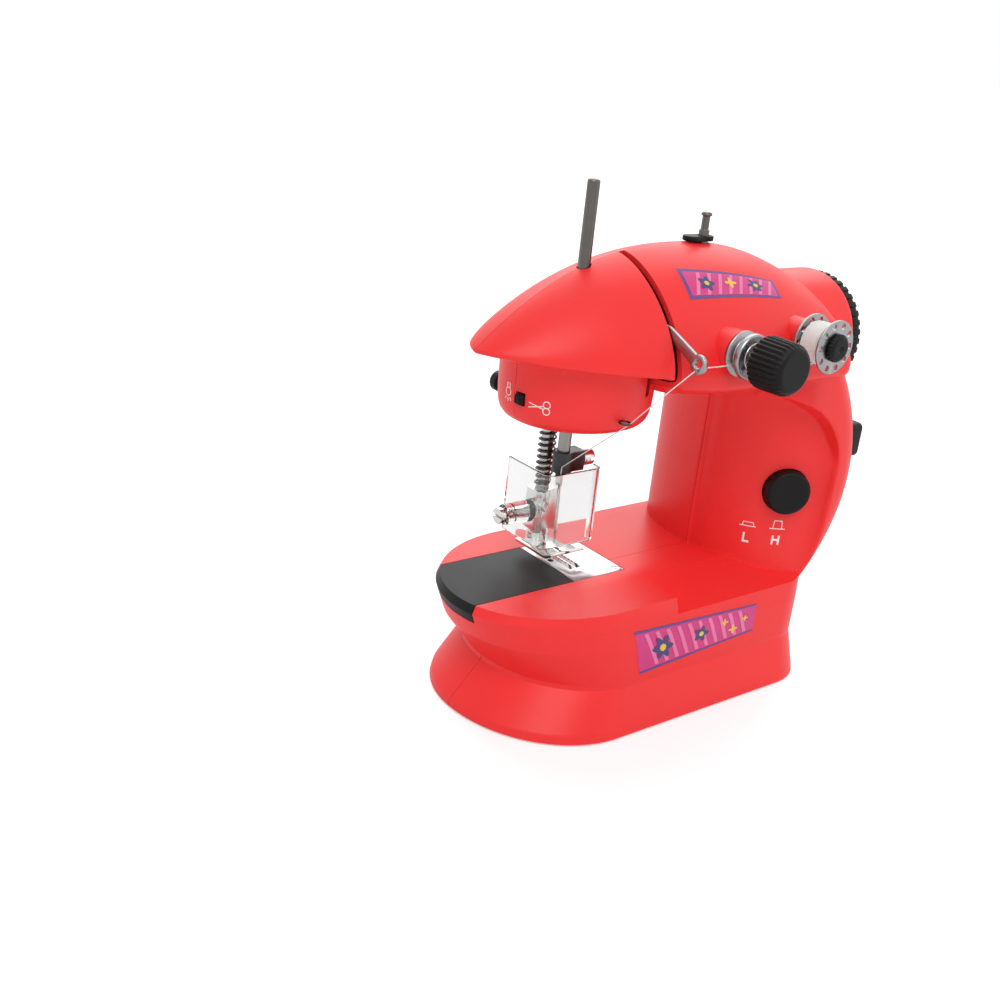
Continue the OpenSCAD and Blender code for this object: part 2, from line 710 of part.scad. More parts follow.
// A metal bobbin on an axis, with round holes in its flanges
module bobbin(bore) {
    difference() {
        union() {
            cylinder(r = bobbin_r, h = flange_t);
            translate([0, 0, bobbin_l - flange_t]) cylinder(r = bobbin_r, h = flange_t);
            cylinder(r = 3.9, h = bobbin_l);
        }
        translate([0, 0, -1]) cylinder(r = bore, h = bobbin_l + 2);
        for (a = [0:36:324])
            rotate(a) translate([bobbin_r - 2, 0, -1]) cylinder(r = 1.15, h = bobbin_l + 2);
    }
}

module lower_bobbin() color(steel) translate([hook_x - 4.3, low_y, low_z]) rotate([0, -90, 0]) bobbin(3);

module feed_dog() color([0.5, 0.5, 0.52]) {
    top = bed_z - plate_t - 0.4;
    low = bed_z - 5.1;
    for (dx = feed_rows) {
        block([needle_x + dx - 1, needle_y - 7.5, top - 2], [needle_x + dx + 1, needle_y + 8.5, top]);
        for (i = [0:6]) translate([needle_x + dx - 1, needle_y - 7.3 + i * 2.2, top - eps])
            rotate([90, 0, 90]) linear_extrude(2) polygon([[0, 0], [1.8, 0], [1.8, 1.9]]);
    }
    block([needle_x + 2.4, needle_y + 4, low], [-5, needle_y + 8.5, top - 0.9]);
    block([-13, needle_y - 3, low], [-5, needle_y + 8.5, top - 0.9]);
}

// Needle group
module needle_bar() color(steel) difference() {
    rod(needle_x, needle_y, clamp_z + 2, bar_top_z, bar_r);
    rod(needle_x, needle_y, 0, clamp_z + 10, 1 + eps);
    rod(needle_x, needle_y, guide_low_z - 1, far, guide_r + run_fit);
}

module needle_yoke() color([0.75, 0.75, 0.77]) difference() {
    lo = yoke_z - yoke_h;
    hi = yoke_z + yoke_h;
    slot = crank_pin_r + 0.1;
    union() {
        block([needle_x + 2.6, -15, lo], [needle_x + 4.6, needle_y + 4.6, hi]);
        rod(needle_x, needle_y, lo, hi, 4);
        block([needle_x, needle_y - 4, lo], [needle_x + 3, needle_y + 4, hi]);
    }
    rod(needle_x, needle_y, 0, far, bar_r + eps);
    block([needle_x + 2, -13.5, yoke_z - slot], [needle_x + 6, needle_y - 4, yoke_z + slot]);
}

module needle_clamp() color(steel) difference() {
    union() {
        rod(needle_x, needle_y, clamp_z, clamp_z + clamp_h, bar_r + 1.5);
        block([needle_x, needle_y - 3.4, clamp_z + 0.5],
            [needle_x + clamp_reach, needle_y + 3.4, clamp_z + clamp_h]);
        rod(needle_x, needle_y, clamp_z - 2, clamp_z + 1, 2.2);
    }
    rod(needle_x, needle_y, clamp_z + 2 - eps, far, bar_r + eps);
    rod(needle_x, needle_y, 0, far, 1 + eps);
    rod_x(needle_x + bar_r + 0.5, far, needle_y, clamp_z + 4.5, 1.5 + eps);
}

module clamp_screw() color(steel) difference() {
    union() {
        rod_x(needle_x + bar_r + 0.6, needle_x + clamp_reach + 2, needle_y, clamp_z + 4.5, 1.5);
        rod_x(needle_x + clamp_reach + 0.3, needle_x + clamp_reach + 5.5, needle_y, clamp_z + 4.5, 3.4);
    }
    block([needle_x + clamp_reach + 3.5, needle_y - 5, clamp_z + 3.9],
        [needle_x + clamp_reach + 9, needle_y + 5, clamp_z + 5.1]);
}

module needle() color(steel) {
    tip = bed_z + tip_up;
    difference() {
        union() {
            rod(needle_x, needle_y, clamp_z - 6, clamp_z + 8, 1);
            translate([needle_x, needle_y, clamp_z - 8]) cylinder(r1 = 0.6, r2 = 1, h = 2);
            rod(needle_x, needle_y, tip + 4, clamp_z - 8, 0.6);
            translate([needle_x, needle_y, tip]) cylinder(r1 = 0.1, r2 = 0.6, h = 4);
        }
        rod_y(needle_x, needle_y - 3, needle_y + 3, tip + 5.5, 0.25);
    }
}

// Take-up lever: a flat plate from its pivot through the slot to its eye
module take_up_lever() color(steel) translate([slot_x - lever_t / 2, 0, lever_pivot_z]) rotate([90, 0, 90])
    linear_extrude(lever_t) difference() {
        union() {
            circle(4.5);
            translate([-lever_reach, -lever_drop]) circle(3.6);
            polygon([[0, 4.5], [-31, -0.6], [-lever_reach + 1.4, -lever_drop + 3.2],
                [-lever_reach + 0.4, -lever_drop - 2.6], [-38, -8], [-31, -4.8], [0, -4.5]]);
        }
        circle(1.5 + run_fit);
        translate([-lever_reach, -lever_drop]) circle(1.5);
    }

module lever_pin() color(steel) {
    rod_x(slot_x - lever_t / 2 - 1.2, -15.5, 0, lever_pivot_z, 1.5);
    rod_x(slot_x - lever_t / 2 - 1.6, slot_x - lever_t / 2 - 0.4, 0, lever_pivot_z, 2.2);
}

// Wire eye on the front of the head
module thread_guide() color(dark_steel) translate([guide_x, head_y - head_b - 1.6, guide_z]) {
    rotate_extrude() translate([2.1, 0]) circle(guide_wire, $fn = 16);
    translate([0, 2, 0]) rotate([-90, 0, 0]) cylinder(r = guide_wire, h = 3, $fn = 16);
}

// Presser group
module presser_bar() color(dark_steel)
    rod(needle_x, presser_y, holder_z + 1.5, shelf_mid_z + bush_l + 4, bar_r);

module presser_collar() color(steel) difference() {
    union() {
        rod(needle_x, presser_y, collar_z, collar_z + collar_t, 4.2);
        block([lifter_x - 6, presser_y - 3.2, collar_z], [needle_x, presser_y + 2.6, collar_z + collar_t]);
    }
    rod(needle_x, presser_y, 0, far, bar_r + eps);
}

// Points of a coil: radius, turn and height from its first end to its last
function coil(r0, r1, z0, z1, turns, step) = [for (i = [0:turns * 360 / step])
    let (k = i * step / (turns * 360)) [r0 + (r1 - r0) * k, i * step, z0 + (z1 - z0) * k]];

// A six-sided tube along a coil
module coil_tube(points, wire) {
    loft([for (p = points) [for (s = [0:60:300])
        let (r = p[0] + wire / 2 * cos(s))
        [r * cos(p[1]), r * sin(p[1]), p[2] + wire / 2 * sin(s)]]]);
}

spring_step = 45;
spring_low = holder_z + holder_h + spring_wire / 2 + 0.2;
spring_high = shelf_low_z - 0.2 - spring_wire / 2;
echo(presser_spring_gap = (spring_high - spring_low) / spring_turns - spring_wire);

module presser_spring() color([0.16, 0.16, 0.17]) translate([needle_x, presser_y, 0])
    coil_tube(coil(spring_r, spring_r, spring_low, spring_high, spring_turns, spring_step), spring_wire);

module foot_holder() color(steel) difference() {
    union() {
        block([needle_x - 4.6, presser_y - 4.4, holder_z],
            [needle_x + 4.6, presser_y + 3.6, holder_z + holder_h]);
        block([needle_x - 2, foot_pin_y - 2, foot_pin_z - 2], [needle_x + 2, foot_pin_y + 2, holder_z + 1]);
    }
    rod(needle_x, presser_y, holder_z + 1.5 - eps, far, bar_r + eps);
    rod_x(needle_x - 9, needle_x + 9, foot_pin_y, foot_pin_z, 1 + eps);
    rod_y(needle_x - 2, presser_y - 9, presser_y - bar_r - 0.5, holder_z + 10, 1.2 + eps);
    rod_x(needle_x - 9, needle_x - bar_r - 0.5, presser_y, holder_z + 7, 1.6 + eps);
}

module foot_screw() color(steel) difference() {
    union() {
        rod_y(needle_x - 2, presser_y - 5, presser_y - bar_r - 0.6, holder_z + 10, 1.2);
        rod_y(needle_x - 2, presser_y - 5.9, presser_y - 4.4 - eps, holder_z + 10, 2.4);
    }
    block([needle_x - 3.6, presser_y - 9, holder_z + 9.7],
        [needle_x - 0.4, presser_y - 5.3, holder_z + 10.3]);
    block([needle_x - 2.3, presser_y - 9, holder_z + 8.4],
        [needle_x - 1.7, presser_y - 5.3, holder_z + 11.6]);
}

module presser_foot() color([0.75, 0.75, 0.77]) difference() {
    half = 8.5;
    toe_y = needle_y - 6;
    sole_t = 1.2;
    ear_t = 1.3;
    union() {
        block([needle_x - half, toe_y, foot_z], [needle_x + half, presser_y + 3, foot_z + sole_t]);
        translate([needle_x - half, toe_y, foot_z]) rotate([90, 0, 90]) linear_extrude(2 * half)
            polygon([[1, 0], [1, sole_t], [-3.4, 3.2], [-3.6, 2.2], [-0.8, 0.3]]);
        for (x = [needle_x - 2.4 - ear_t, needle_x + 2.4])
            block([x, foot_pin_y - 2.4, foot_z], [x + ear_t, foot_pin_y + 2.4, foot_pin_z + 2]);
    }
    block([needle_x - 1.6, needle_y - 3, 0], [needle_x + 1.6, needle_y + 3, far]);
    block([needle_x - 1, needle_y - 12, 0], [needle_x + 1, needle_y, far]);
    rod_x(needle_x - 9, needle_x + 9, foot_pin_y, foot_pin_z, 1 + run_fit);
}

module foot_pin() color(steel) rod_x(needle_x - 4.4, needle_x + 4.4, foot_pin_y, foot_pin_z, 1);

// Clear guard round the needle: a front pane, two returns and a screw boss
guard_z = holder_z - 0.6;
guard_h = 30.5;
guard_y = needle_y - 11;
guard_t = 1.2;
guard_left = needle_x - 15.5;
guard_right = needle_x + 12;

module finger_guard() color([0.85, 0.9, 0.92, 0.4]) difference() {
    union() {
        block([guard_left, guard_y, guard_z], [guard_right, guard_y + guard_t, guard_z + guard_h]);
        block([guard_right - guard_t, guard_y, guard_z], [guard_right, guard_y + 5, guard_z + guard_h]);
        block([guard_left, guard_y, guard_z], [guard_left + guard_t, presser_y + 4, guard_z + guard_h]);
        rod_x(guard_left - 3, needle_x - 4.6 - eps, presser_y, holder_z + 7, 4.2);
    }
    rod_x(guard_left - 9, needle_x, presser_y, holder_z + 7, 1.6 + eps);
}

module guard_screw() color(steel) difference() {
    union() {
        rod_x(guard_left - 3.5, needle_x - bar_r - 0.6, presser_y, holder_z + 7, 1.6);
        rod_x(guard_left - 6, guard_left - 3 - eps, presser_y, holder_z + 7, 3.2);
    }
    block([guard_left - 9, presser_y - 4, holder_z + 6.5],
        [guard_left - 4.8, presser_y + 4, holder_z + 7.5]);
}

module presser_lifter() color(black) {
    back = head_y + head_b;
    arm_l = 8;
    translate([lifter_x, 0, lifter_z]) {
        rod_y(-lifter_throw, presser_y - 3, presser_y + 1.5, 0, lifter_cam_r);
        rod_y(0, presser_y - 3, back + 4, 0, lifter_r);
        rod_y(0, back + 0.8, back + 4, 0, 4.6);
        rotate([0, 45, 0]) {
            block([-2.6, back + 0.9, -arm_l], [2.6, back + 3.8, 0]);
            rod_y(0, back + 0.8, back + 4, -arm_l, 4);
        }
    }
}

// Thread tension and bobbin winder
module tension_stud() color(steel) {
    rod_y(tension_x, disc_y - 22, disc_y + tension_boss + 2, tension_z, 2);
    rod_y(tension_x, disc_y + tension_boss + eps, disc_y + tension_boss + 3, tension_z, 4.5);
}

module tension_discs() color(steel) difference() {
    union() {
        rod_y(tension_x, disc_y - 3, disc_y - eps, tension_z, disc_r);
        rod_y(tension_x, disc_y - 4, disc_y - 3 + eps, tension_z, disc_r - 2.5);
        rod_y(tension_x, disc_y - 7, disc_y - 4 + eps, tension_z, disc_r);
    }
    rod_y(tension_x, disc_y - 9, disc_y + 1, tension_z, 2 + eps);
    rod_y(tension_x, disc_y - 9, disc_y - 5.6, tension_z, disc_r - 1.2);
    for (a = [0:90:270])
        rod_y(tension_x + 5.2 * cos(a), disc_y - 9, disc_y - 4.5, tension_z + 5.2 * sin(a), 1.1);
}

tension_turns = 3;
tension_wire = 0.8;
tension_near = 5.8 + tension_wire / 2;
tension_far = 11 - tension_wire / 2;
echo(tension_spring_gap = (tension_far - tension_near) / tension_turns - tension_wire);

module tension_spring() color(steel) translate([tension_x, disc_y, tension_z]) rotate([90, 0, 0])
    coil_tube(coil(5.2, 3.2, tension_near, tension_far, tension_turns, spring_step), tension_wire);

module tension_knob() color(black) difference() {
    union() {
        rod_y(tension_x, disc_y - 25, disc_y - 12.5, tension_z, knob_r);
        rod_y(tension_x, disc_y - 26, disc_y - 11.5, tension_z, knob_r - 1);
    }
    rod_y(tension_x, disc_y - 22.4, disc_y, tension_z, 2 + run_fit);
    for (i = [0:17]) rod_y(tension_x + (knob_r + 0.6) * cos(i * 20), disc_y - 26, disc_y - 11,
        tension_z + (knob_r + 0.6) * sin(i * 20), 1);
}

module winder_spindle() color(black) {
    rod_y(winder_x, winder_y - bobbin_l - 3.2, winder_y + winder_boss + 3, winder_z, 2.5);
    rod_y(winder_x, winder_y - 1.2, winder_y, winder_z, 6);
    rod_y(winder_x, winder_y + winder_boss + gap, winder_y + winder_boss + 2.5, winder_z, 4.5);
}

module winder_cap() color(black) difference() {
    rod_y(winder_x, winder_y - bobbin_l - 4, winder_y - bobbin_l - 1.6, winder_z, 5.4);
    rod_y(winder_x, winder_y - bobbin_l - 3.2 - eps, winder_y, winder_z, 2.5 + eps);
}

module top_bobbin() color(steel)
    translate([winder_x, winder_y - 1.3, winder_z]) rotate([90, 0, 0]) bobbin(2.5 + eps);

flange_t = 0.9;
thread_turns = 7;
thread_d = 0.7;
thread_core = 6.9;
thread_step = 15;
thread_low = flange_t + 0.5 + thread_d / 2;
thread_high = bobbin_l - flange_t - 0.5 - thread_d / 2;
thread_r = thread_core / cos(thread_step / 2) + thread_d / 2 + run_fit;
echo(thread_gap = (thread_high - thread_low) / thread_turns - thread_d);

module bobbin_thread() color([0.95, 0.95, 0.93])
    translate([winder_x, winder_y - 1.3, winder_z]) rotate([90, 0, 0]) {
        difference() {
            translate([0, 0, flange_t + 0.05]) cylinder(r = thread_core, h = bobbin_l - 2 * flange_t - 0.1);
            cylinder(r = 3.9 + eps, h = bobbin_l);
        }
        coil_tube(coil(thread_r, thread_r, thread_low, thread_high, thread_turns, thread_step), thread_d);
    }

// Pins on the crown
pin_depth = 17;
pin_step = ridge(pin_x) + 6;
pin_top = ridge(pin_x) + pin_up;

module spool_pin() color([0.4, 0.36, 0.34]) union() {
    rod(pin_x, 0, ridge(pin_x) - pin_depth, pin_step + 0.1, pin_r - 0.2);
    rod(pin_x, 0, pin_step, pin_top - 0.6, pin_r);
    translate([pin_x, 0, pin_top - 0.6]) cylinder(r1 = pin_r, r2 = pin_r - 0.5, h = 0.6);
}

short_seat = crown_z + 2.2;
short_top = ridge(short_x) + short_up;

module short_pin() color(dark_steel) {
    rod(short_x, 0, ridge(short_x) - pin_depth, short_top - 6.5, 2);
    rod(short_x, 0, short_top - 7, short_top - 1, 1.5);
    rod(short_x, 0, short_top - 1.6, short_top, 2.1);
}

module pin_base() color(black) difference() {
    low = crown_z + 0.3;
    union() {
        for (dx = [-6.4, 0.8]) rod(short_x + dx, 0, low, short_seat, 3.4);
        block([short_x - 6.4, -3.2, low], [short_x + 0.8, 3.2, short_seat]);
    }
    rod(short_x, 0, 0, far, 2 + run_fit);
}

// Switches
module speed_button() color(black) translate([button_x, button_y, button_z]) rotate([90, 0, button_turn]) {
    translate([0, 0, -9]) cylinder(r = button_r, h = 12.4);
    translate([0, 0, 3.3]) cylinder(r1 = button_r, r2 = button_r - 0.8, h = 0.8);
}

module side_switch() color(black) {
    block([switch_x - 5, switch_y - 5, switch_z - switch_half],
        [switch_x + 6, switch_y + 5, switch_z + switch_half]);
    rod_y(switch_x, switch_y - 5 - gap / 2, switch_y + 5 + gap / 2, switch_z, 2);
}

module light_switch() color(black)
    block([head_x - head_a - 0.6, -4.8, 122], [head_x - head_a + 6, -1.2, 126]);

module lamp() color([0.9, 0.9, 0.8]) rod(lamp_x, lamp_y, head_z - 2.4, head_z + wall, lamp_r);

front_shell();
rear_shell();
bottom_cover();
battery_door();
rubber_feet();
shell_screws();
needle_plate();
plate_screws();
bobbin_cover();
frame();
shaft_bushes();
bar_bushes();
main_shaft();
handwheel();
crank_disc();
upper_pulley();
drive_pulley();
timing_belt();
drive_belt();
motor();
motor_pulley();
lower_pulley();
lower_shaft();
shuttle_hook();
bobbin_case();
lower_bobbin();
feed_dog();
needle_bar();
needle_yoke();
needle_clamp();
clamp_screw();
needle();
take_up_lever();
lever_pin();
thread_guide();
presser_bar();
presser_collar();
presser_spring();
foot_holder();
foot_screw();
presser_foot();
foot_pin();
finger_guard();
guard_screw();
presser_lifter();
tension_stud();
tension_discs();
tension_spring();
tension_knob();
winder_spindle();
winder_cap();
top_bobbin();
bobbin_thread();
spool_pin();
short_pin();
pin_base();
speed_button();
side_switch();
light_switch();
lamp();
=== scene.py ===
"""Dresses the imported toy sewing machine: red moulded housing, steel stitching parts and black controls."""

import json
import logging
import math
from dataclasses import dataclass
from enum import Enum

import bmesh
import bpy
import numpy as np
from mathutils import Matrix, Vector
from mathutils.bvhtree import BVHTree

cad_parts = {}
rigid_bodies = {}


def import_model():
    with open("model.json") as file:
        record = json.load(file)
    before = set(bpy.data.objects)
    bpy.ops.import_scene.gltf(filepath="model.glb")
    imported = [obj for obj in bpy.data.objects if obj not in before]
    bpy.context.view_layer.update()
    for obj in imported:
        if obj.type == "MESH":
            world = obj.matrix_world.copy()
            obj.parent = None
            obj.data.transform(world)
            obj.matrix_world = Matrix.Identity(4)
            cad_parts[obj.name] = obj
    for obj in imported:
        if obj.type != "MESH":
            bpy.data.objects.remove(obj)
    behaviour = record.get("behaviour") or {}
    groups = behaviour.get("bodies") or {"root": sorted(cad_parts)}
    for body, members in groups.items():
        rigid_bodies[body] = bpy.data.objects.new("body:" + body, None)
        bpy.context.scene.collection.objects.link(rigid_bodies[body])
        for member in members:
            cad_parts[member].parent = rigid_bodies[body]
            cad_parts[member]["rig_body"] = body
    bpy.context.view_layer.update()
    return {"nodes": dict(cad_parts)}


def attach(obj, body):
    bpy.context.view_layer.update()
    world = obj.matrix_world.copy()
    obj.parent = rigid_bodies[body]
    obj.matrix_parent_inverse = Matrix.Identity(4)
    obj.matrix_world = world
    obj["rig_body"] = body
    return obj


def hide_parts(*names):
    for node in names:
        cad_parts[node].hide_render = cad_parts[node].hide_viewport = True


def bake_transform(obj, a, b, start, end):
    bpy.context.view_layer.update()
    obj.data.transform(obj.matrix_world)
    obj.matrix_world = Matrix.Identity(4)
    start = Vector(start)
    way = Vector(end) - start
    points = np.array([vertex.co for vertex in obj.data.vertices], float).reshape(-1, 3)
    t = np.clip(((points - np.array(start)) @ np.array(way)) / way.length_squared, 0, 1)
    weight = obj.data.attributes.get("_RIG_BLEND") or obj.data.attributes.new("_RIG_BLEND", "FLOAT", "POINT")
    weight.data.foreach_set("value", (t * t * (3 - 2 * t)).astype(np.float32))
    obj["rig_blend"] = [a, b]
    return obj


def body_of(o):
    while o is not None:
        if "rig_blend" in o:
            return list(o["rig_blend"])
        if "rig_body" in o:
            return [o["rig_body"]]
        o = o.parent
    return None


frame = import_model()
LOG = logging.getLogger("sewing_machine")
MM = 0.001
Array = np.ndarray
Object = bpy.types.Object
Material = bpy.types.Material
Tree = bpy.types.NodeTree
Node = bpy.types.Node
Socket = bpy.types.NodeSocket
X, Y, Z = (1.0, 0.0, 0.0), (0.0, 1.0, 0.0), (0.0, 0.0, 1.0)
FRONT = (0.0, -1.0, 0.0)
SHARP = 38.0


@dataclass(frozen=True)
class Places:
    """Where pieces come through the housing, in millimetres."""

    shaft_z: float = 138.0
    tension: tuple[float, float, float] = (2.7, -42.1, 146.0)
    winder: tuple[float, float, float] = (40.0, -41.5, 148.3)
    button: tuple[float, float, float] = (57.5, -31.7, 80.4)
    button_out: tuple[float, float, float] = (-0.491, -0.871, 0.0)
    lamp: tuple[float, float] = (-46.0, 0.2)
    long_pin_x: float = -39.1
    short_pin_x: float = 19.4


class Carve(Enum):
    """What a tool does to a mesh: it is cut out, joined on, or bounds what is kept."""

    CUT = "DIFFERENCE"
    JOIN = "UNION"
    KEEP = "INTERSECT"


@dataclass(frozen=True)
class Finish:
    """How one material looks; colours are linear, scales are per metre."""

    name: str
    colour: tuple[float, float, float]
    roughness: float
    metallic: float = 0.0
    tone: float = 0.06
    spread: float = 0.06
    scale: float = 500.0
    bump: float = 0.02
    stretch: tuple[float, float, float] = (1.0, 1.0, 1.0)
    # The two fields below set the colour and amount of the lighter proud edges: partly rub wear, partly a
    # painted edge highlight.
    worn_and_lit: tuple[float, float, float] = (0.8, 0.8, 0.8)
    wear_and_highlight: float = 0.0
    coat: float = 0.0
    clear: float = 0.0
    shine: float = 0.5


class Look(Enum):
    """The finishes of the machine."""

    RED = Finish("red_shell", (0.88, 0.030, 0.031), 0.38, tone=0.05, spread=0.07, scale=900, bump=0.025,
                 worn_and_lit=(0.90, 0.08, 0.08), wear_and_highlight=0.35, shine=0.3)
    BLACK = Finish("black_plastic", (0.005, 0.005, 0.005), 0.45, tone=0.2, scale=900, bump=0.05,
                   worn_and_lit=(0.03, 0.03, 0.03), wear_and_highlight=0.5, shine=0.18)
    RUBBER = Finish("black_rubber", (0.016, 0.016, 0.016), 0.75, tone=0.2, scale=1200, bump=0.08)
    NICKEL = Finish("nickel", (0.66, 0.65, 0.63), 0.2, 1.0, tone=0.08, spread=0.1, scale=700, bump=0.01,
                    worn_and_lit=(0.85, 0.84, 0.82), wear_and_highlight=0.4)
    STEEL = Finish("turned_steel", (0.50, 0.49, 0.48), 0.3, 1.0, tone=0.12, spread=0.12, scale=300,
                   bump=0.02, stretch=(1, 1, 12), worn_and_lit=(0.8, 0.79, 0.77), wear_and_highlight=0.4)
    BRUSHED = Finish("brushed_plate", (0.56, 0.56, 0.57), 0.34, 1.0, tone=0.15, spread=0.15, scale=260,
                     bump=0.03, stretch=(14, 1, 14), worn_and_lit=(0.8, 0.8, 0.8), wear_and_highlight=0.3)
    DARK = Finish("dark_steel", (0.13, 0.12, 0.115), 0.28, 1.0, tone=0.18, spread=0.15, scale=400,
                  bump=0.02, stretch=(1, 1, 9), worn_and_lit=(0.5, 0.48, 0.45), wear_and_highlight=0.5)
    BLACK_OXIDE = Finish("black_oxide", (0.045, 0.044, 0.045), 0.38, 1.0, tone=0.25, spread=0.15, scale=700,
                         bump=0.03, worn_and_lit=(0.3, 0.3, 0.3), wear_and_highlight=0.6)
    GREY_STEEL = Finish("stamped_steel", (0.33, 0.33, 0.34), 0.3, 1.0, tone=0.15, spread=0.12, scale=500,
                        bump=0.02, worn_and_lit=(0.7, 0.7, 0.7), wear_and_highlight=0.5)
    BRONZE = Finish("bush_bronze", (0.45, 0.28, 0.11), 0.35, 1.0, tone=0.15, scale=500, bump=0.02)
    CAST = Finish("cast_alloy", (0.42, 0.43, 0.44), 0.55, 1.0, tone=0.18, spread=0.15, scale=700, bump=0.12)
    NYLON = Finish("white_nylon", (0.75, 0.74, 0.69), 0.5, tone=0.06, scale=500, bump=0.03)
    BELT = Finish("belt_rubber", (0.02, 0.02, 0.021), 0.7, tone=0.2, scale=1500, bump=0.1)
    CLEAR = Finish("clear_guard", (0.93, 0.96, 0.96), 0.05, tone=0.02, spread=0.03, scale=200, bump=0.004,
                   clear=1.0)
    THREAD = Finish("white_thread", (0.83, 0.82, 0.79), 0.7, tone=0.12, scale=3000, bump=0.3)
    LAMP = Finish("lamp_lens", (0.85, 0.85, 0.78), 0.18, tone=0.03, scale=400, bump=0.01, coat=0.4)
    WHITE_INK = Finish("white_ink", (0.85, 0.84, 0.83), 0.5, tone=0.04, scale=1500, bump=0.02)
    VIOLET = Finish("violet_print", (0.10, 0.03, 0.22), 0.3, tone=0.15, scale=900, bump=0.01, coat=0.3)
    MAGENTA = Finish("magenta_print", (0.62, 0.012, 0.19), 0.3, tone=0.2, scale=700, bump=0.01, coat=0.3)
    PINK = Finish("pink_print", (0.80, 0.16, 0.36), 0.3, tone=0.15, scale=700, bump=0.01, coat=0.3)
    NAVY = Finish("navy_print", (0.02, 0.03, 0.16), 0.3, tone=0.2, scale=900, bump=0.01, coat=0.3)
    YELLOW = Finish("yellow_print", (0.82, 0.50, 0.06), 0.3, tone=0.15, scale=900, bump=0.01, coat=0.3)


def fill(node: Node, values: dict[str, object]) -> None:
    """Sets a node's inputs by their labels."""
    for label, value in values.items():
        node.inputs[label].default_value = value


def sockets(tree: Tree, way: str, kind: str, *labels: str) -> None:
    """Gives a node group sockets of one kind, each an INPUT or an OUTPUT."""
    for label in labels:
        tree.interface.new_socket(label, in_out=way, socket_type="NodeSocket" + kind)


def calc(tree: Tree, operation: str, *terms: Socket | float) -> Node:
    """One sum in a node tree.

    Args:
        tree: the node tree.
        operation: what the sum does.
        terms: what it works on, as sockets or plain numbers.

    Returns:
        The node, whose first output is the result.
    """
    node = tree.nodes.new("ShaderNodeMath")
    node.operation = operation
    for place, term in zip(node.inputs, terms):
        if isinstance(term, float):
            place.default_value = term
        else:
            tree.links.new(term, place)
    return node


